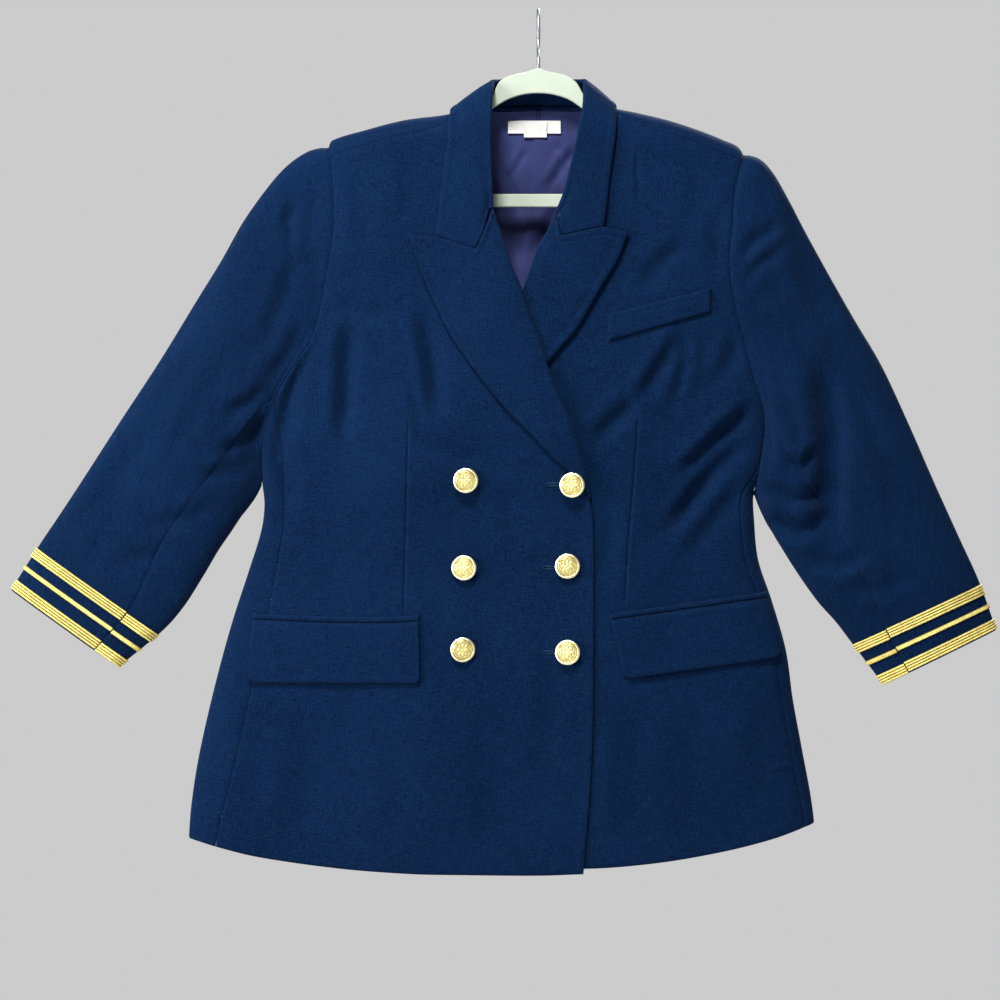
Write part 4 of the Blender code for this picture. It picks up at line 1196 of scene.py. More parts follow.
@dataclass
class Backs(Maker):
    """Both halves of the back, over the shoulders to the seams on the front."""

    rows: tuple[int, int, int] = (38, 42, 90)
    columns: int = 72
    gap: float = 0.15

    def build(self, side: Side) -> None:
        """Make one half of the back.

        Args:
            side: which half.
        """
        form, s = self.form, side.value
        low, skirt, ring = self.rows
        share = packed(0, 1, self.columns, 0.7)
        lines = []
        skirt_rows = list(packed(0, 1, low, 0.5)) + list(np.linspace(1, 2, skirt + 1)[1:-1])
        for row in skirt_rows:
            outer_x = form.seam_place(row, s, 1)[0] - s * self.gap
            x = mix(outer_x, s * self.gap, share)
            lines.append((x, form.run_at(x, form.row_z(row, x, s, 1), 1)))
        first = form.side_turn[s]
        low_z = form.armhole_at(s, first)[1]
        turns = np.linspace(first, -form.shoulder_turn, ring + 1)
        for turn in turns:
            outer_x, outer_z = form.armhole_at(s, turn)
            start = form.run_at(*form.armhole_at(s, first), 1)
            end = form.run_at(*form.armhole_at(s, form.shoulder_turn), -1)
            here = form.run_at(outer_x, outer_z, 1 if turn >= 0 else -1)
            x = mix(outer_x + s * 0.6, s * self.gap, share)
            seam = form.run_at(x, form.shoulder_seam(x, s) + self.gap, -1)
            top = np.where(np.abs(x) >= form.neck_half, seam, form.neck(np.abs(x)))
            lines.append((x, mix(form.run_at(x, low_z, 1), top, (start - here) / (start - end))))
        x, run = (np.array(part) for part in zip(*lines))
        outer, inner = np.abs(x - x[:, :1]), np.abs(x - x[:, -1:])
        rise = -edge_drop(outer, *SEAM)
        rise -= edge_drop(inner, *SEAM)
        hem = form.over_shoulder(x, run)[..., 2] - form.hem(x, s, 1)
        rise = rise - edge_drop(hem, *HEM) * (run > 100) - edge_drop(run - run[-1:], *TOP_SEAM)
        places = form.along_run(x, run, rise)
        if s > 0:
            places = places[:, ::-1]
        self.shop.cloth("back_" + side.word, places, form.cloth, 1, inner=Slot.LINING,
                        tucks="top first last")


@dataclass
class SidePanels(Maker):
    """Panels round the sides, from the front seams under the arms to the back seams."""

    rows: tuple[int, int] = (50, 54)
    columns: int = 30
    gap: float = 0.15

    def build(self, side: Side) -> None:
        """Make one side panel.

        Args:
            side: which panel.
        """
        form, s = self.form, side.value
        low, skirt = self.rows
        rows = list(packed(0, 1, low, 0.5)) + list(np.linspace(1, 2, skirt + 1)[1:])
        turn = packed(-1, 1, self.columns, 0.7)
        first = form.side_turn[s]
        ring_turn = first + (180 - first) * (1 - np.abs(turn))
        ring_x, ring_z = form.armhole_at(s, ring_turn)
        face = np.where(turn <= 0, -1, 1)
        ring_span = form.half_span(ring_z)
        top_seam = np.where(face < 0, form.seam_x(ring_z, s, -1), form.seam_x(ring_z, s, 1))
        beyond = self.angle(ring_x, *ring_span) - self.angle(top_seam, *ring_span) * np.abs(turn)
        lines = []
        for row in rows:
            heights = {f: form.seam_place(row, s, f)[1] for f in (-1, 1)}
            at_seam = np.where(face < 0, heights[-1], heights[1])
            if row <= 1:
                middle_z = form.row_z(row, form.edge[s](at_seam), s, -1)
                z = mix(middle_z, at_seam, turn * turn)
                rise_up = 0.0
            else:
                rise_up = row - 1
                z = mix(form.skirt_z, ring_z, rise_up) * np.ones_like(turn)
            middle, half = form.half_span(z)
            seam = np.where(face < 0, form.seam_x(z, s, -1), form.seam_x(z, s, 1))
            angle = self.angle(seam, middle, half) * np.abs(turn)
            angle = angle + beyond * ease(rise_up) ** 2
            lines.append((middle + s * half * np.cos(angle) ** (2 / form.fullness), z))
        x, z = (np.array(part) for part in zip(*lines))
        places = form.shell(x, z, face)
        normal = normals_of(places) * (-s)
        outward = np.sign((normal * places_at(s * 1.0, 0, 0)).sum(axis=-1).mean())
        across = paced(places, 1)
        near = np.minimum(across, across[:, -1:] - across)
        rise = form.fold_rise(x, z, face) - edge_drop(near, *SEAM)
        rise -= edge_drop(z - z[:1], *HEM)
        places = places + normal * outward * rise[..., None]
        if s < 0:
            places, across = places[:, ::-1], across[:, ::-1]
        grain = np.stack([across, z if s > 0 else z[:, ::-1]], axis=-1)
        self.shop.cloth("side_panel_" + side.word, places, form.cloth, -1, grain=grain,
                        inner=Slot.LINING, tucks="top first last")

    def angle(self, x: Array, middle: Array, half: Array) -> Array:
        """Angle round the side, 0 at the edge, of places on the body."""
        return np.arccos(np.minimum(np.abs(x - middle) / half, 1.0) ** (self.form.fullness / 2))


# ---- sleeves and cuff braid


@dataclass
class Sleeves(Maker):
    """Two-piece sleeves from the armholes to the cuffs, and the braid round each cuff.

    A station's row gives the outer edge's x and height, the inner edge's, half the depth and the
    turn of the seam between the upper and the under sleeve.
    """

    stations: dict[int, tuple[Row, ...]] = kept({
        -1: ((-206, -133, -270, -462, 0, 119), (-225, -137, -272.5, -467, 24, 119),
             (-243, -148, -275, -472, 25, 118), (-262, -168, -278, -477, 26, 117),
             (-288, -204, -281.5, -482, 26, 116), (-310, -243, -286, -488, 26, 115),
             (-334, -282, -291.5, -495, 25, 114), (-370, -341, -300, -508, 24, 112),
             (-408, -399, -313, -527, 23, 110), (-446, -458, -329, -554, 22, 109),
             (-469, -493, -347, -582, 19, 113), (-488.5, -522, -368.8, -606.5, 17, 119),
             (-516, -565.5, -411, -641, 14, 124)),
        1: ((201, -140, 210.5, -470, 0, 119), (217, -145, 212.5, -476, 24, 119),
            (230, -158, 214.5, -481.5, 25, 118), (245, -184, 216.7, -487, 26, 117),
            (261, -215, 219.5, -493, 26, 116), (284, -257, 223.5, -501, 26, 115),
            (309, -301, 231, -513, 25, 114), (336, -347, 243, -533, 24, 112),
            (363, -405, 258, -556, 23, 110), (387, -460, 274, -578, 22, 110),
            (411, -513, 291, -597, 19, 113), (431, -557, 305.3, -615.8, 17, 119),
            (448, -604.6, 337.6, -658.3, 14, 124))})
    bow_fade: Row = (1, 0.92, 0.8, 0.62, 0.42, 0.22, 0.08, 0, 0, 0, 0, 0, 0)
    fullness: float = 0.85
    start: float = -0.2
    folds: tuple[Row, ...] = (
        (285, -340, 285, -530, 4.0, 13), (230, -300, 262, -430, 2.5, 14),
        (-330, -330, -430, -500, 3.2, 14), (-285, -300, -300, -430, 2.6, 14))
    creases: dict[int, tuple[Crease, ...]] = kept({
        -1: LEFT_SLEEVE_CREASES, 1: RIGHT_SLEEVE_CREASES})
    length: int = 180
    round_upper: int = 92
    round_under: int = 30
    seam: float = 119.0
    seam_sink: tuple[float, float] = (0.9, 1.4)
    head_rise: float = 0.9
    braids: dict[str, tuple[float, float, int]] = kept({
        "top": (0.065, 0.285, 4), "middle": (0.47, 0.56, 1), "edge": (0.775, 0.975, 4)})
    under_step: float = 0.02
    braid_rise: float = 0.3
    cord_high: float = 1.25
    cord_wide: float = 2.8
    cord_thick: float = 0.25

    @property
    def last(self) -> int:
        """Number of the cuff's station."""
        return len(self.bow_fade) - 1

    def outline(self, side: int, turn: Array, station: Array) -> Places:
        """Places on a sleeve without its creases.

        Args:
            side: the sleeve's side.
            turn: degrees from the outer edge, below zero on the back; the seam counts as 119.
            station: stations from the armhole down, whole or between.

        Returns:
            Places as x, y, z.
        """
        turn, station = np.broadcast_arrays(np.asarray(turn, float), np.asarray(station, float))
        keys = range(self.last + 1)
        columns = list(zip(*self.stations[side]))
        out_x, out_z, in_x, in_z, deep, seam = (
            Curve(*zip(keys, column))(station) for column in columns)
        fade = Curve(*zip(keys, self.bow_fade))(station)
        folded = np.where(turn > 180, turn - 360, turn)
        face, angle = np.where(folded >= 0, -1, 1), np.abs(folded)
        past = 180 - (180 - angle) * (180 - seam) / (180 - self.seam)
        eased = np.where(angle <= self.seam, angle * seam / self.seam, past)
        across = (1 - np.cos(np.radians(eased))) / 2
        x, z = mix(out_x, in_x, across), mix(out_z, in_z, across)
        full = np.maximum(np.sin(np.radians(eased)), 0.0) ** self.fullness
        sunk = sum(self.form.broad_fold(x, z, row) for row in self.folds)
        y = face * np.maximum(deep - sunk, 0.3 * deep) * full
        ring_x, ring_z = self.form.armhole_at(side, eased)
        ring_y = self.form.shell(ring_x, ring_z, face)[..., 1]
        ring_y = ring_y * ease(np.minimum(angle, 180 - angle) / 6)
        first = self.stations[side][0]
        x = x + (ring_x + side * self.start - mix(first[0], first[2], across)) * fade
        z = z + (ring_z - mix(first[1], first[3], across)) * fade
        return np.stack([x, mix(y, ring_y, fade), z], axis=-1)

    def surface(self, side: int, turn: Array, station: Array, rise: Array = 0.0) -> Places:
        """Places on a sleeve with its creases, moved out along the normal.

        Args:
            side: the sleeve's side.
            turn: degrees round the sleeve.
            station: stations from the armhole down.
            rise: how far out, with the creases counted on top of it.

        Returns:
            Places as x, y, z.
        """
        turn, station = np.broadcast_arrays(np.asarray(turn, float), np.asarray(station, float))
        place = self.outline(side, turn, station)
        around = self.outline(side, turn + 0.7, station) - self.outline(side, turn - 0.7, station)
        down = self.outline(side, turn, np.minimum(station + 0.04, self.last))
        down = down - self.outline(side, turn, np.maximum(station - 0.04, 0))
        normal = np.cross(around, down) * side
        normal /= np.maximum(np.linalg.norm(normal, axis=-1, keepdims=True), 1e-9)
        folded = np.abs(np.where(turn > 180, turn - 360, turn))
        share = ease(np.minimum(folded / 28, (180 - folded) / 13))
        share = share * ease(station / 0.7) * ease((self.last - station) / 0.5)
        fold = creased(self.creases[side], place[..., 0], place[..., 2], side * 1.7)
        return place + normal * (rise + share * fold)[..., None]

    def sleeve(self, side: Side, part: str) -> None:
        """Make the upper or the under sleeve.

        Args:
            side: which sleeve.
            part: "upper" or "under".
        """
        s, seam = side.value, self.seam
        ends = (-seam, seam) if part == "upper" else (seam, 360 - seam)
        turn = packed(*ends, self.round_upper if part == "upper" else self.round_under, 0.25)
        station = packed(0, self.last, self.length, 0.45)[::-1]
        turn, station = np.meshgrid(turn, station)
        bare = self.outline(s, turn, station)
        across = paced(bare, 1)
        near = np.minimum(across, across[:, -1:] - across)
        down = paced(bare[::-1], 0)[::-1]
        from_cuff = paced(bare, 0)
        rise = -edge_drop(near - 0.3, *self.seam_sink)
        rise += 0.3 * edge_drop(near - 4.5, 1.0, 3.0)
        rise -= edge_drop(down, 1.0, 1.5) * ease((np.abs(turn) - 8) / 30)
        head = ease((down - 1) / 5) * ease((34 - down) / 26) * ease((100 - np.abs(turn)) / 40)
        rise += self.head_rise * head
        rise -= edge_drop(from_cuff, *HEM)
        places = self.surface(s, turn, station, rise)
        grain = np.stack([across, -down], axis=-1)
        self.shop.cloth(f"{part}_sleeve_{side.word}", places, self.form.cloth, s, grain=grain,
                        inner=Slot.LINING, tucks="top first last")

    def braid(self, side: Side, part: str, row: str) -> None:
        """Make one row of braid: round cords side by side, from seam to seam.

        Args:
            side: which sleeve.
            part: "upper" or "under".
            row: "top", "middle" or "edge".
        """
        s, seam = side.value, self.seam
        ends = (-seam + 0.5, seam - 0.5) if part == "upper" else (seam + 0.5, 360 - seam - 0.5)
        high, low, cords = self.braids[row]
        step = 0.0 if part == "upper" else self.under_step
        per_cord = 8 if cords > 1 else 14
        share = np.linspace(0, 1, cords * per_cord + 1)
        phase = (share * cords) % 1.0
        phase[-1] = 1.0
        round_top = np.sqrt(np.maximum(1 - (2 * phase - 1) ** 2, 0))
        if cords == 1:
            round_top = round_top**0.5 * 0.8
        turn = np.linspace(*ends, 176 if part == "upper" else 76)
        station = self.last - 1 + mix(low, high, share) + step
        turn, station = np.meshgrid(turn, station)
        uneven = 0.08 * np.sin(turn / 2.3 + 2 * np.sin(turn / 7)) + 0.05 * np.sin(turn * 1.7)
        rise = self.braid_rise + self.cord_high * (round_top[:, None] * (1 + uneven)) + 0.1
        places = self.surface(s, turn, station, rise)
        floor = self.surface(s, turn[[0, -1]], station[[0, -1]], 0.05)
        places = np.concatenate([floor[:1], places, floor[1:]])
        beside = np.concatenate([[0], share, [1]])[:, None] * cords * self.cord_wide
        grain = np.stack([paced(places, 1), beside + 0 * places[..., 0]], axis=-1)
        self.shop.cloth(f"cuff_braid_{row}_{part}_{side.word}", places, self.cord_thick, s,
                        Slot.BRAID, grain=grain, ending="_cords")

    def build(self) -> None:
        """Make both sleeves with their braid."""
        for side in Side:
            for part in ("upper", "under"):
                self.sleeve(side, part)
                for row in self.braids:
                    self.braid(side, part, row)


# ---- lapels and collar


def along_corners(points: Sequence[Row], share: Array) -> Array:
    """Places on straight runs between points, at shares of the whole length."""
    corners = np.array(points, float)
    stops = np.concatenate([[0], np.cumsum(np.linalg.norm(np.diff(corners, axis=0), axis=1))])
    stops /= stops[-1]
    return np.stack([np.interp(share, stops, column) for column in corners.T], axis=-1)


def corner_shares(points: Sequence[Row], corners: Sequence[int]) -> list[float]:
    """Shares of a line's length at which some of its points lie."""
    steps = np.linalg.norm(np.diff(np.array(points, float), axis=0), axis=1)
    return [float(steps[:corner].sum() / steps.sum()) for corner in corners]


GORGE = {
    -1: ((-44.5, -192.5), (-54, -218.6), (-61, -233.4), (-81, -227), (-99.6, -220.8)),
    1: ((17.3, -196.3), (19.5, -208), (22.3, -220.3), (43, -216), (63, -211.8)),
}


@dataclass
class Lapels(Maker):
    """Peaked lapels turned back on the fronts, from the gorge to where the roll ends."""

    peak: dict[int, Row] = kept({-1: (-127, -219.5), 1: (87.5, -217)})
    roll: dict[int, tuple[Row, ...]] = kept({
        -1: ((-44.5, -192.5), (-35.5, -219), (-25.5, -250), (-16, -272), (-11.5, -289), (0, -320),
             (8, -345), (19, -373), (29.5, -397.5), (38, -424), (46.5, -452), (51, -475)),
        1: ((17.3, -196.3), (10, -212), (-2.5, -235.5), (-15, -271), (-33, -312), (-52, -356),
            (-71, -400), (-86, -438), (-88, -444))})
    edge: dict[int, tuple[Row, ...]] = kept({
        -1: ((-127, -219.5), (-117, -249), (-103, -282), (-87.5, -313.5), (-70, -340),
             (-51.5, -364.5), (-32, -388.5), (-11, -409.5), (12, -433.5), (30, -450), (47.5, -471)),
        1: ((87.5, -217), (77, -243), (64, -265), (50, -289), (36.5, -311), (21, -329.5),
            (8.5, -344), (-20, -386), (-50, -425), (-74, -446))})
    radius: float = 3.2
    edge_thick: float = 2.6
    rows: int = 130
    spans: tuple[int, int, int] = (30, 18, 18)
    edge_sink: tuple[float, float] = (0.8, 1.1)
    bulk: float = 0.7
    bulk_wide: float = 7.5
    sink_at_end: float = 2.2

    def build(self, side: Side) -> None:
        """Make one lapel.

        Args:
            side: which lapel.
        """
        form, s = self.form, side.value
        top = [*GORGE[s], self.peak[s]]
        first, second = corner_shares(top, (2, 4))
        u = np.concatenate([packed(0, first, self.spans[0], 0.5),
                            packed(first, second, self.spans[1], 0)[1:],
                            packed(second, 1, self.spans[2], 0.4)[1:]])
        v = packed(0, 1, self.rows, 0.5)
        rail = along_corners(top, u)
        roll, outer = smooth_line(self.roll[s], v), smooth_line(self.edge[s], v)
        end = mix(roll[-1], outer[-1], u[:, None])
        across, down = u[None, :, None], v[:, None, None]
        flat = rail[None] * (1 - down) + end[None] * down
        flat = flat + roll[:, None] * (1 - across) + outer[:, None] * across
        flat -= rail[0] * (1 - across) * (1 - down) + rail[-1] * across * (1 - down)
        flat -= roll[-1] * (1 - across) * down + outer[-1] * across * down
        x, z = flat[..., 0], flat[..., 1]
        inset = np.linalg.norm(flat - roll[:, None], axis=-1)
        from_edge = np.linalg.norm(flat - outer[:, None], axis=-1)
        from_top = np.linalg.norm(flat - rail[None], axis=-1)
        drop = rounded(self.radius, inset)
        near = np.minimum(from_edge, from_top)
        rise = form.layer + form.two_ply - drop - edge_drop(near, *self.edge_sink)
        rise += self.bulk * ease((self.bulk_wide - near) / 2.0)
        swell = ease(inset / 18) * ease(from_edge / 22)
        rise += 1.3 * swell * (1 - 0.5 * down[..., 0]) + 1.1
        if s < 0:
            rise -= self.sink_at_end * ease((-434 - z) / 30)
        places = form.on_front(x, z, s, rise)[::-1]
        grain = flat[::-1]
        if s < 0:
            places, grain = places[:, ::-1], grain[:, ::-1]
        self.shop.cloth("lapel_" + side.word, places, self.edge_thick, -1, grain=grain)


@dataclass
class Collar(Maker):
    """Collar in one piece: up the stand, over the fold and down the fall, round the neck.

    Each row of a side gives the fold's x, y and z, the outer edge's x and height, the seam's x
    and height, and the face that both lie on, from the gorge to the centre back.
    """

    sections: dict[int, tuple[Row, ...]] = kept({
        -1: ((-44.5, -30.5, -192.2, -99.6, -220.8, -46.5, -190, -1),
             (-45.4, -32, -158, -97.2, -199, -51.5, -158, -1),
             (-46.4, -30, -126, -91.4, -150.3, -57.5, -128, -1),
             (-45.4, -23, -94.6, -87.4, -118, -64.5, -107, -1),
             (-45, -17.5, -85, -87, -109, -65.5, -99, -1),
             (-44.5, -12, -77, -86, -104, -64.5, -94.5, -1),
             (-44, -6, -71, -85.5, -101.1, -63.5, -92.6, -1),
             (-43, 0, -67.3, -85, -99.6, -62, -92, 1),
             (-40, 5.2, -66.4, -83, -102, -59, -91.4, 1),
             (-35.7, 10, -65.8, -79, -108, -54, -92.3, 1),
             (-30, 13.5, -65.5, -69, -110, -46, -92, 1),
             (-23, 16, -65.4, -56, -109.5, -38, -92.2, 1),
             (-10, 19, -65.3, -27, -109, -18, -91.7, 1)),
        1: ((17.3, -30.5, -196, 63, -211.8, 21.5, -194, -1),
            (23.9, -32, -179.6, 65.5, -197.2, 29, -179, -1),
            (30.8, -31, -152.2, 68.9, -165, 40, -155, -1),
            (37.6, -29, -121, 73.5, -134, 54, -126, -1),
            (42.5, -22, -94.6, 75.7, -112, 64.5, -107, -1),
            (43.5, -16.5, -84.5, 75.7, -104, 65.5, -99, -1),
            (44, -11, -77, 75.7, -99, 64.5, -94.5, -1),
            (44.2, -5.5, -70.8, 75.7, -96.6, 63.5, -92.6, -1),
            (44, 0, -66.5, 75.7, -95.6, 62, -92, 1), (40.5, 5.2, -66, 75.5, -98.2, 59, -91.4, 1),
            (35.7, 10, -65.6, 73.5, -104.5, 54, -92.3, 1),
            (30, 13.5, -65.5, 67, -108.5, 46, -92, 1), (23, 16, -65.4, 56, -109.5, 38, -92.2, 1),
            (10, 19, -65.3, 27, -109, 18, -91.7, 1))})
    centre: Row = (0, 19.5, -65.3, 0, -109, 0, -91.5, 1)
    fold: float = 2.8
    clear: float = 2.0
    gorge_shares: Row = (0.0, 0.15, 0.35, 0.68, 1.0)
    stand_rows: int = 10
    fold_rows: int = 14
    fall_rows: int = 34
    columns: int = 190
    edge_sink: tuple[float, float] = (0.8, 1.1)
    bulk: float = 0.7

    def profile(self, side: int, row: Row, at_gorge: bool) -> Places:
        """Places up one section, from the neck seam over the fold to the outer edge.

        Args:
            side: the section's side.
            row: the section's row.
            at_gorge: True for the section that ends on the gorge.

        Returns:
            Places in order.
        """
        form = self.form
        rise = self.clear + form.two_ply
        crease, face = np.array(row[:3], float), row[7]
        edge = form.on_body(*row[3:5], face, rise)
        foot = form.on_body(*row[5:7], face, -form.cloth)
        foot += (0, 0, 2.0) if face > 0 else (-side * 2.4, 0, 0)
        down, out = (arm / np.linalg.norm(arm) for arm in (foot - crease, edge - crease))
        inside, apart = (
            (arm / np.linalg.norm(arm)) * self.fold for arm in (down + out, out - down))
        angle = np.radians(np.linspace(-90, 90, self.fold_rows + 1))[:, None]
        bend = crease + inside * (1 - np.cos(angle)) + apart * np.sin(angle)
        stand = mix(foot, bend[0], np.linspace(0, 1, self.stand_rows + 1)[:-1, None])
        share = np.concatenate([packed(0, self.gorge_shares[2], 12, 0.3),
                                packed(self.gorge_shares[2], 1, self.fall_rows - 12, 0.4)[1:]])
        if at_gorge:
            points = [(x + side * 0.35, z + 0.35) for x, z in GORGE[side][1:]]
            corners = np.array([bend[-1]] + [form.on_body(x, z, -1, rise) for x, z in points])
            fall = np.stack(
                [np.interp(share, self.gorge_shares, column) for column in corners.T], axis=-1)
        else:
            fall = mix(bend[-1], edge, share[:, None])
        return np.concatenate([stand, bend, fall[1:]])

    def build(self) -> None:
        """Make the collar."""
        left = [self.profile(-1, row, k == 0) for k, row in enumerate(self.sections[-1])]
        right = [self.profile(1, row, k == 0) for k, row in enumerate(self.sections[1])]
        rows = np.array(left + [self.profile(1, self.centre, False)] + right[::-1])
        fold = rows[:, self.stand_rows + self.fold_rows // 2]
        stops = np.concatenate([[0], np.cumsum(np.linalg.norm(np.diff(fold, axis=0), axis=1))])
        at = np.concatenate([packed(0, stops[1], 34, 0.3),
                             packed(stops[1], stops[-2], self.columns - 50, 0)[1:],
                             packed(stops[-2], stops[-1], 16, 0.3)[1:]])
        i = np.clip(np.searchsorted(stops, at, side="right") - 1, 0, len(stops) - 2)
        span = (stops[i + 1] - stops[i])[:, None, None]
        t = ((at - stops[i])[:, None, None]) / span
        slopes = np.gradient(rows, stops, axis=0)
        smooth = spline(t, span, (rows[i], rows[i + 1]), (slopes[i], slopes[i + 1]))
        places = smooth.transpose(1, 0, 2)
        up, along = paced(places, 0), paced(places, 1)
        from_edge = up[-1:] - up
        from_end = np.minimum(along, along[:, -1:] - along)
        fall = ease((up - up[self.stand_rows + self.fold_rows]) / 12)
        near = np.minimum(from_edge, np.where(fall > 0, from_end, 99))
        rise = fall * (-edge_drop(near, *self.edge_sink) + self.bulk * ease((8 - near) / 2))
        rise += 0.9 * fall * ease(from_edge / 18) + 0.25 * unevenness(along, up * 1.7, 0.4) * fall
        places = places + normals_of(places) * rise[..., None]
        self.shop.cloth("collar", places, self.form.two_ply, -1,
                        grain=np.stack([along, up], axis=-1))


# ---- pockets


def rounded(radius: float, inset: Array) -> Array:
    """How far a round of a radius drops at insets from its start."""
    return radius - np.sqrt(np.maximum(radius**2 - np.maximum(radius - inset, 0) ** 2, 0))


def bent(points: Sequence[Row], share: Array) -> Array:
    """Places on a smooth line through three points."""
    first, middle, last = (np.array(point, float) for point in points)
    pull, t = 2 * middle - (first + last) / 2, np.asarray(share)[:, None]
    return first * (1 - t) ** 2 + pull * 2 * t * (1 - t) + last * t**2


@dataclass
class Pockets(Maker):
    """Flap pockets low on both fronts and the slanting breast welt."""

    flap: dict[int, tuple[Row, ...]] = kept({
        -1: ((-278.5, -594.2), (-177, -597.6), (-116.5, -595.5),
             (-284, -656), (-177, -656), (-115.5, -656)),
        1: ((70, -594.5), (146, -584), (221.5, -573.2), (83.5, -652), (160, -641.5), (236, -631))})
    corner: float = 8.0
    jet_high: float = 5.5
    welt: tuple[Row, ...] = ((68, -296.5), (167, -271.6), (68, -322), (167, -294))
    columns: int = 92
    rows: int = 44
    bulk: float = 0.4

    def flap_piece(self, side: Side) -> None:
        """Make one flap, its lower corners rounded.

        Args:
            side: which flap.
        """
        form, s = self.form, side.value
        top, low = self.flap[s][:3], self.flap[s][3:]
        u, v = packed(0, 1, self.columns, 0.7), packed(0, 1, self.rows, 0.5)[:, None, None]
        upper, lower = bent(top, u), bent(low, u)
        width = np.linalg.norm(lower[-1] - lower[0])
        end = np.minimum(u, 1 - u) * width
        arc = rounded(self.corner, end)
        up = upper - lower
        up /= np.linalg.norm(up, axis=-1, keepdims=True)
        lower = lower + up * arc[:, None]
        flat = mix(lower[None], upper[None], v)
        from_low = np.linalg.norm(flat - lower[None], axis=-1)
        near = np.minimum(from_low * (1 - 0.2 * (end < 8)), end[None])
        rise = form.layer + form.two_ply - edge_drop(near, *LINE_SINK)
        rise += self.bulk * ease((7.5 - near) / 2) + 0.7 * ease(near / 20)
        wave = 0.5 + 0.5 * np.sin(flat[..., 0] / 19 + s)
        tucked = ease((from_low[-1:] * 0 + v[..., 0] - 0.92) / 0.08)
        rise += 1.1 * wave * ease((26 - from_low) / 26) - 1.2 * tucked
        places = form.on_front(flat[..., 0], flat[..., 1], s, rise)
        self.shop.cloth("pocket_flap_" + side.word, places, form.two_ply, -1, grain=flat)

    def jet(self, side: Side) -> None:
        """Make the rolled jet above one flap."""
        form, s = self.form, side.value
        u, v = packed(0, 1, self.columns, 0.7), np.linspace(0, 1, 13)[:, None]
        line = bent(self.flap[s][:3], u)
        x = np.broadcast_to(line[:, 0], (13, len(u)))
        z = line[:, 1] + 0.5 + v * self.jet_high
        round_top = np.sqrt(np.maximum(1 - (2 * v - 1) ** 2, 0))
        ends = ease(np.minimum(u, 1 - u) * 163 / 1.6)
        rise = form.layer + 0.6 + 1.9 * round_top * (0.3 + 0.7 * ends)
        places = form.on_front(x, z, s, rise)
        self.shop.cloth("pocket_jet_" + side.word, places, form.cloth, -1,
                        grain=np.stack([z, x], axis=-1))

    def breast_welt(self) -> None:
        """Make the breast pocket's welt."""
        form = self.form
        corners = np.array(self.welt, float)
        u, v = packed(0, 1, 84, 0.7)[None, :, None], packed(0, 1, 34, 0.6)[:, None, None]
        top, low = mix(corners[0], corners[1], u), mix(corners[2], corners[3], u)
        flat = mix(low, top, v)
        near = np.minimum(np.minimum(u, 1 - u)[..., 0] * 102, (np.minimum(v, 1 - v) * 26)[..., 0])
        rise = form.layer + form.two_ply - 0.3 - edge_drop(near, *LINE_SINK)
        rise = rise + 0.4 * ease((6 - near) / 2) + 0.5 * ease(near / 9)
        self.shop.cloth("breast_welt", form.on_front(flat[..., 0], flat[..., 1], 1, rise),
                        form.two_ply, -1, grain=flat - corners[0])

    def build(self) -> None:
        """Make the flaps, the jets and the welt."""
        for side in Side:
            self.flap_piece(side)
            self.jet(side)
        self.breast_welt()


# ---- buttons and buttonholes


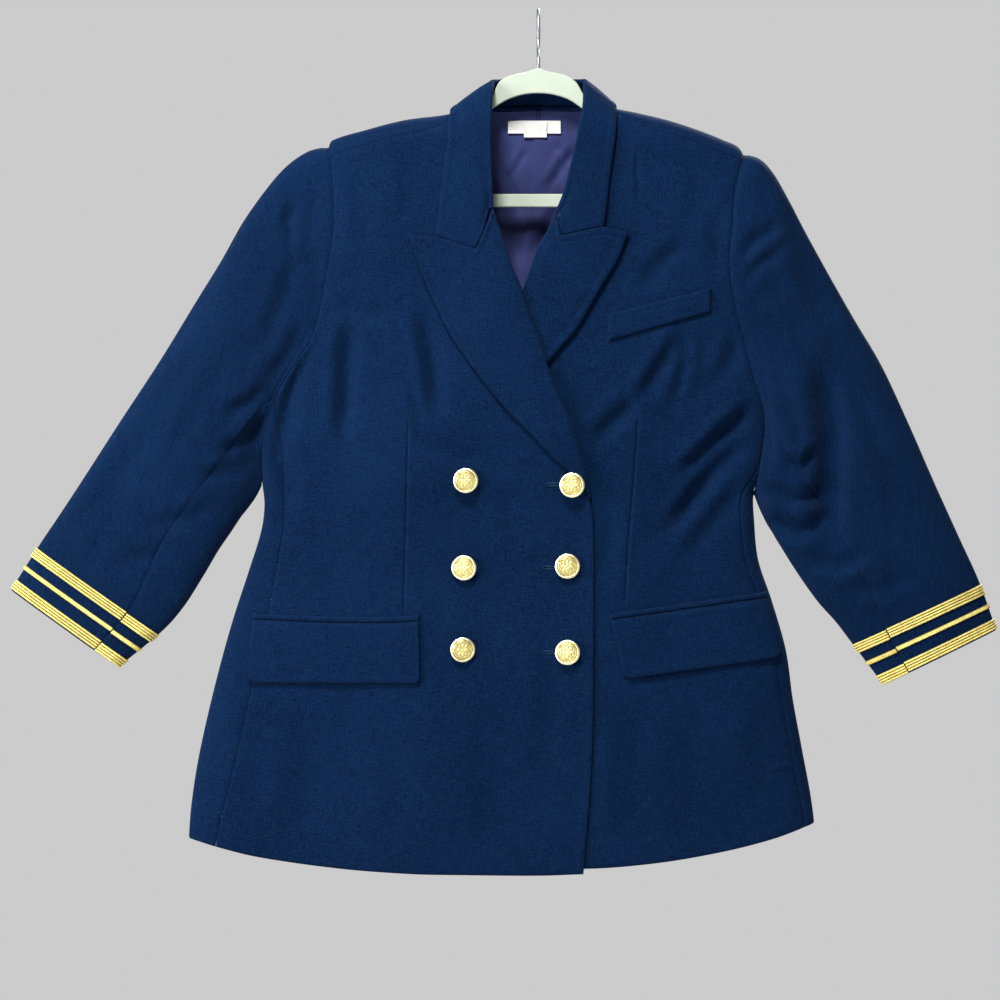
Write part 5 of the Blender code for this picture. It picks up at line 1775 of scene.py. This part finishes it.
@dataclass
class Buttons(Maker):
    """Domed shank buttons in two columns, and the worked buttonholes by the right column."""

    places: tuple[Row, ...] = ((-71, -458.5), (-72.7, -543.7), (-74, -623.2),
                               (32.4, -463), (27.9, -542), (28.1, -626))
    tilt: tuple[Row, ...] = ((2, -3), (-3, 2), (9, -7), (-2, 3), (3, -2), (-4, 3))
    side: tuple[Row, ...] = ((12.0, 1.75), (12.2, 1.35), (12.0, 0.95), (10.6, 0.55), (7, 0.3),
                             (2.6, 0.2), (2.4, -2.6), (0.01, -2.6))
    face_radius: float = 11.7
    shank: float = 2.9
    beads: int = 38
    petals: int = 8
    around: int = 152
    rings: int = 46
    holes: tuple[Row, ...] = ((14.2, -462.4, 6.8), (10.2, -543.4, 5.8), (10.2, -626, 5.8))

    def height(self, radius: Array, angle: Array) -> Array:
        """Height of the face above the rim's back: a dome, a rosette, a groove and a beaded rim."""
        dome = 1.9 + 1.1 * np.sqrt(np.maximum(1 - (radius / 11.0) ** 2, 0))
        petal = np.abs(np.cos(angle * self.petals / 2)) ** 0.7
        reach = 2.0 + 4.6 * petal
        leaf = ease((reach - radius) / 0.9) * ease((radius - 1.5) / 0.5)
        vein = 1 - 0.5 * np.exp(-((np.sin(angle * self.petals / 2) * radius / 0.35) ** 2))
        stud = 0.55 * np.sqrt(np.maximum(1 - (radius / 1.5) ** 2, 0))
        small = np.abs(np.cos((angle + math.pi / self.petals) * self.petals / 2)) ** 3
        outer_leaf = ease(1 - np.abs(radius - 6.9) / 1.1) * small
        ring = edge_drop(radius - 8.7, 0.28, 0.28) - edge_drop(radius - 9.6, 0.35, 0.4)
        bead = np.abs(np.cos(angle * self.beads / 2)) ** 0.8
        rim = 0.55 * np.sqrt(np.maximum(1 - ((radius - 10.85) / 0.85) ** 2, 0))
        rim = rim * (0.45 + 0.55 * bead)
        return dome + 0.38 * leaf * vein + stud + 0.3 * outer_leaf + ring + rim

    def button(self, number: int) -> None:
        """Make one button.

        Args:
            number: its number, down the left column and then the right.
        """
        x, z = self.places[number - 1]
        angle = np.linspace(0, 2 * math.pi, self.around, endpoint=False)
        radius = np.linspace(0, self.face_radius, self.rings)[:, None]
        profile = self.height(radius, angle)
        ring = [places_at(radius * np.cos(angle), radius * np.sin(angle), profile)]
        for r, height in self.side:
            level = np.full_like(angle, height)
            ring.append(places_at(r * np.cos(angle), r * np.sin(angle), level)[None])
        grid = np.concatenate(ring)
        index = np.arange(grid[..., 0].size).reshape(grid.shape[:2])
        after = np.roll(index, -1, axis=1)
        name = f"button_{number}"
        mesh = mesh_of(name, grid, (index[:-1], index[1:], after[1:], after[:-1]))
        piece = self.shop.keep(name + "_face", mesh, Slot.METAL, nodes=(name,))
        seat, over = (
            self.form.on_front(np.array([x]), np.array([z]), -1, rise)[0] for rise in (0.0, 1.0))
        outward = Vector(over - seat).normalized()
        piece.location = (Vector(seat) + outward * self.shank) * MM
        right, up = (math.radians(turn) for turn in self.tilt[number - 1])
        lean = outward + Vector((right, 0, up))
        piece.rotation_mode = "QUATERNION"
        piece.rotation_quaternion = lean.to_track_quat("Z", "Y")

    def buttonhole(self, number: int) -> None:
        """Make one buttonhole: a cord of worked stitches round a narrow slit.

        Args:
            number: its number down the right column.
        """
        x, z, half = self.holes[number - 1]
        turn = np.linspace(0, 2 * math.pi, 241)
        edge_x = x + half * np.sign(np.cos(turn)) * np.abs(np.cos(turn)) ** 0.35
        edge_z = z + 1.15 * np.sign(np.sin(turn)) * np.abs(np.sin(turn)) ** 0.6
        section = np.radians(np.linspace(0, 180, 11))[:, None]
        stitch = 1 + 0.13 * np.sin(np.arange(241) * math.pi / 2)
        reach = -0.85 * np.cos(section) * stitch
        centre = np.hypot((edge_x - x) / half, (edge_z - z) / 1.15)
        out_x, out_z = (edge_x - x) / half / centre, (edge_z - z) / 1.15 / centre
        rise = 0.1 + 0.75 * np.sin(section) * stitch
        places = self.form.on_front(edge_x + reach * out_x * 0.8, edge_z + reach * out_z, -1, rise)
        mesh = self.shop.grid_mesh(f"buttonhole_{number}", places)
        mesh.materials.append(self.shop.sewing_thread())
        self.shop.keep(f"buttonhole_{number}", mesh, Slot.NAVY)

    def build(self) -> None:
        """Make the buttons and the buttonholes."""
        for number in range(1, len(self.places) + 1):
            self.button(number)
        for number in range(1, len(self.holes) + 1):
            self.buttonhole(number)


# ---- inside the neck


@dataclass
class NeckLining(Maker):
    """Back lining inside the neck, with its centre pleat, and the bare woven labels on it."""

    half: float = 52.0
    clear: float = 1.0
    thick: float = 1.0
    low_z: float = -300.0
    columns: int = 80
    rows: int = 90
    pleat: tuple[Row, ...] = (
        (-3.0, -100), (-3.4, -131.7), (-4.8, -162), (-6.7, -177.6), (-9.7, -194.2),
        (-12.2, -217.7), (-15.1, -248), (-18, -300))
    pleat_deep: float = 1.3
    rumple: float = 1.3
    slack: float = 1.5
    creases: tuple[Crease, ...] = creases_from(
        (-46, -140, -28, -165, -14, -200, 1.2, 5, 0.8), (42, -128, 24, -150, 6, -178, 1.2, 5, 0.8),
        (30, -175, 12, -205, -4, -240, 1.1, 6, 0.7), (-40, -190, -26, -215, -18, -250, 1.0, 5, 0.6),
        (-8, -128, -20, -150, -34, -168, 0.8, 4, 0.5), (14, -126, 30, -140, 46, -160, 0.8, 4, 0.5))
    label: Row = (-29.8, 22.0, -105.3, -118.0)
    size_tab: Row = (-14.2, 8.3, -107.3, -121.9)
    label_thick: float = 0.8

    def build(self) -> None:
        """Make the lining and both labels."""
        form = self.form
        x = np.linspace(-self.half, self.half, self.columns + 1)
        top = form.over_shoulder(x, form.neck(np.abs(x)) + 4)[..., 2]
        share = ((1 - np.linspace(0, 1, self.rows + 1)) ** 1.5)[:, None]
        z = mix(top, self.low_z, share)
        x = np.broadcast_to(x, z.shape)
        past = x - Curve(*((height, across) for across, height in self.pleat))(z)
        pleat = self.pleat_deep * (ease((past + 2.2) / 2.4) - ease((past - 1) / 26))
        pleat = pleat * ease((-108 - z) / 24)
        folds = sum(crease.rise(x, z) for crease in self.creases)
        folds = folds + 0.25 * unevenness(x * 1.6, z * 1.6, 2.1)
        inside = form.cloth + self.clear
        settle = ease((-112 - z) / 14) * ease((np.abs(z - self.low_z)) / 14)
        settle = settle * ease((self.half - np.abs(x)) / 8)
        bulge = self.slack * ease((-190 - z) / 70)
        out = (pleat + self.rumple * folds + bulge + 0.9) * settle
        places = form.on_body(x, z, 1, -inside - 0.15) - places_at(0 * x, out, 0 * x)
        self.shop.cloth("lining_back", places, self.thick, 1, Slot.LINING)
        depth = inside + self.thick + form.layer
        self.tape("neck_label", self.label, depth)
        self.tape("size_tab", self.size_tab, depth + self.label_thick + 0.4)

    def tape(self, name: str, bounds: Row, depth: float) -> None:
        """Make one bare label, its edges a little curled.

        Args:
            name: the name of its solid.
            bounds: left, right, top and bottom.
            depth: how far inside the back it lies.
        """
        left, right, top, low = bounds
        u, v = np.linspace(0, 1, 61)[None], np.linspace(0, 1, 25)[:, None]
        x, z = mix(left, right, u) + 0 * v, mix(low, top, v) + 0 * u
        curl = 0.5 * ease((u - 0.86) / 0.14) + 0.4 * ease((0.1 - u) / 0.1)
        curl = curl + 0.5 * ease((0.3 - v) / 0.3)
        places = self.form.on_body(x, z, 1, -depth - curl * 0.8)
        grain = np.stack([x, z], axis=-1)
        self.shop.cloth(name, places, self.label_thick, 1, Slot.LABEL, grain=grain, ending="_tape")


# ---- hanger


@dataclass
class Hanger(Maker):
    """Flat flocked hanger with bevelled edges, and its plain wire hook."""

    thick: float = 5.0
    bevel: float = 1.1
    arm_deep: float = 20.0
    arm_clear: float = 2.1
    arm_tip: float = 195.0
    arch_top: tuple[Row, ...] = (
        (-58, -97.5), (-50, -90.5), (-44, -80), (-38, -68.5), (-27, -62.4), (-12, -58.8),
        (-4, -56.2), (0, -55), (4, -56.2), (8, -58.0), (27, -62.4), (34, -66.6), (38, -70.5),
        (44, -81), (50, -91), (58, -98))
    arch_under: tuple[Row, ...] = (
        (-44.5, -94.3), (-30, -86), (-15, -81), (0, -79.6), (15, -81), (30, -86), (42.5, -94.3))
    bar_top_z: float = -178.3
    bar_low_z: float = -191.1
    bar_corner: float = 14.0
    hook_wire: float = 3.4
    hook_radius: float = 20.0

    def arm_at(self, x: float) -> Row:
        """Place on top of an arm."""
        return (x, float(self.form.ridge(x)) - self.form.cloth - self.arm_clear)

    def loops(self) -> tuple[list[Row], list[Row]]:
        """The plate's outline and its opening."""
        stops = (self.arm_tip - 3, 185, 175, 165, 150, 138, 125, 112, 100, 90, 82)
        left, right = [self.arm_at(-x) for x in stops], [self.arm_at(x) for x in stops[::-1]]
        arch = [tuple(place) for place in smooth_line(self.arch_top, np.linspace(0, 1, 90))]
        tip = self.arm_tip
        tips = [(tip, right[-1][1] - 8), (tip - 2, self.bar_low_z + self.bar_corner),
                (tip - 6, self.bar_low_z + 5), (tip - 14, self.bar_low_z)]
        outer = left + arch + right + tips + [(-x, z) for x, z in tips[::-1]]
        under = (tip - 20, 165, 150, 138, 125, 112, 100, 90, 82, self.form.neck_half)
        low_left = [(x, z - self.arm_deep) for x, z in (self.arm_at(-x) for x in under)]
        low_right = [(x, z - self.arm_deep) for x, z in (self.arm_at(x) for x in under[::-1])]
        arch_low = [tuple(place) for place in smooth_line(self.arch_under, np.linspace(0, 1, 60))]
        bar = [(tip - 17, self.bar_top_z), (17 - tip, self.bar_top_z)]
        return outer, low_left + arch_low + low_right + bar

    @staticmethod
    def run(curve: bpy.types.Curve, places: Sequence[Row]) -> bpy.types.Spline:
        """Draw straight runs between places in a curve."""
        line = curve.splines.new("POLY")
        line.points.add(len(places) - 1)
        for corner, place in zip(line.points, places):
            corner.co = (*(value * MM for value in place), 1)
        return line

    def build(self) -> None:
        """Make the plate and the hook."""
        plate = bpy.data.curves.new("hanger", "CURVE")
        plate.dimensions = "2D"
        plate.fill_mode = "BOTH"
        plate.extrude = (self.thick / 2 - self.bevel) * MM
        plate.bevel_depth = self.bevel * MM
        plate.bevel_resolution = 3
        plate.offset = -self.bevel * MM
        for loop in self.loops():
            self.run(plate, [(x, z, 0) for x, z in loop]).use_cyclic_u = True
        piece = self.shop.keep("hanger_plate", plate, Slot.FLOCK, nodes=("hanger",))
        piece.rotation_euler = (math.pi / 2, 0, 0)
        self.hook()

    def hook(self) -> None:
        """Make the wire hook, edge-on, from the arch's peak over to the front."""
        radius = self.hook_radius + self.hook_wire / 2
        peak = max(height for _, height in self.arch_top)
        route = [(0.0, peak - 1), (0.0, peak + 2), (0.4, peak + 5), (2.8, peak + 10)]
        for turn in np.radians(range(-68, 205, 6)):
            route.append((radius * np.cos(turn), -self.hook_radius + radius * np.sin(turn)))
        wire = bpy.data.curves.new("hanger_hook", "CURVE")
        wire.dimensions = "3D"
        wire.bevel_depth = self.hook_wire / 2 * MM
        wire.bevel_resolution = 6
        wire.use_fill_caps = True
        self.run(wire, [(0, y, z) for y, z in smooth_line(route, np.linspace(0, 1, 220))])
        self.shop.keep("hanger_hook_wire", wire, Slot.CHROME, nodes=("hanger_hook",))


# ---- studio


@dataclass
class Studio:
    """Pale floor, soft lights and the camera at the photograph's angle."""

    lens: float = 220.0
    sensor: float = 36.0
    aim: Row = (-37.6, 0.0, -477.6)
    garment_y: float = -8.0
    picture_wide: float = 977.0
    floor_z: float = -1300.0
    floor_radius: float = 1.9
    lamps: tuple[tuple, ...] = (
        ("key_light", (-0.5, -1.4, 1.75), 0.6, 130.0, (1.0, 0.985, 0.96)),
        ("side_light", (-1.9, -1.1, -0.3), 0.9, 58.0, (0.96, 0.98, 1.0)),
        ("back_light", (0.9, 2.2, 1.5), 1.0, 130.0, (1.0, 1.0, 1.0)))
    floor_tones: tuple[Colour, Colour] = ((0.50, 0.50, 0.49), (0.54, 0.54, 0.53))
    sky: float = 0.6
    ceiling: float = 0.12
    ceiling_starts: float = 0.08
    ceiling_ends: float = 0.4

    def floor(self) -> None:
        """Lay the plain pale floor."""
        mesh = bpy.data.meshes.new("studio_floor")
        shape = bmesh.new()
        bmesh.ops.create_circle(shape, cap_ends=True, segments=160, radius=self.floor_radius)
        shape.to_mesh(mesh)
        shape.free()
        make = Recipe("studio_floor")
        speck = make.noise(make.solid(), 30.0, 3.0)
        make.colour(make.tint(speck, *self.floor_tones))
        make.plain(roughness=0.9)
        mesh.materials.append(make.material)
        floor = shown("studio_floor", mesh)
        floor.location = (self.aim[0] * MM, 0, self.floor_z * MM)

    def light(self, name: str, place: Row, size: float, power: float, tone: Colour) -> None:
        """Hang one soft square light that faces the blazer.

        Args:
            name: the light's name.
            place: where it hangs, in metres.
            size: its side.
            power: in watts.
            tone: its colour.
        """
        lamp = bpy.data.lights.new(name, "AREA")
        lamp.size, lamp.energy, lamp.color = size, power, tone
        hung = shown(name, lamp)
        hung.location = place
        aim = Vector(self.aim) * MM
        hung.rotation_mode = "QUATERNION"
        hung.rotation_quaternion = (aim - Vector(place)).to_track_quat("-Z", "Y")

    def surround(self) -> None:
        """Surround the studio with plain pale walls and a dimmer ceiling."""
        world = bpy.data.worlds.new("surroundings")
        world.use_nodes = True
        nodes, links = world.node_tree.nodes, world.node_tree.links
        split, height = nodes.new("ShaderNodeSeparateXYZ"), nodes.new("ShaderNodeMapRange")
        links.new(nodes.new("ShaderNodeTexCoord").outputs["Generated"], split.inputs[0])
        links.new(split.outputs[2], height.inputs["Value"])
        levels = (self.ceiling_starts, self.ceiling_ends, self.sky, self.ceiling)
        for socket, value in zip(("From Min", "From Max", "To Min", "To Max"), levels):
            height.inputs[socket].default_value = value
        links.new(height.outputs[0], nodes["Background"].inputs["Strength"])
        nodes["Background"].inputs["Color"].default_value = (1, 1, 1, 1)
        bpy.context.scene.world = world

    def build(self) -> None:
        """Set up the floor, the lights, the surroundings and the camera."""
        self.floor()
        for lamp in self.lamps:
            self.light(*lamp)
        self.surround()
        data = bpy.data.cameras.new("camera")
        data.lens, data.sensor_width = self.lens, self.sensor
        camera = shown("camera", data)
        away = self.picture_wide * self.lens / self.sensor
        camera.location = (self.aim[0] * MM, (self.garment_y - away) * MM, self.aim[2] * MM)
        camera.rotation_euler = (math.pi / 2, 0, 0)
        bpy.context.scene.camera = camera
        bpy.context.scene.view_settings.view_transform = "Standard"
        log.info("studio set up")


# ---- the blazer


def main() -> None:
    """Build the blazer's pieces in order, then set up the studio."""
    logging.basicConfig(level=logging.INFO, format="%(name)s: %(message)s")
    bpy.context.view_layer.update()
    shop = Workshop()
    for side in Side:
        Fronts(shop).build(side)
    for side in Side:
        Backs(shop).build(side)
        SidePanels(shop).build(side)
    Sleeves(shop).build()
    for side in Side:
        Lapels(shop).build(side)
    for kind in (Collar, Pockets, Buttons, NeckLining, Hanger):
        kind(shop).build()
    Studio().build()


if __name__ == "__main__":
    main()
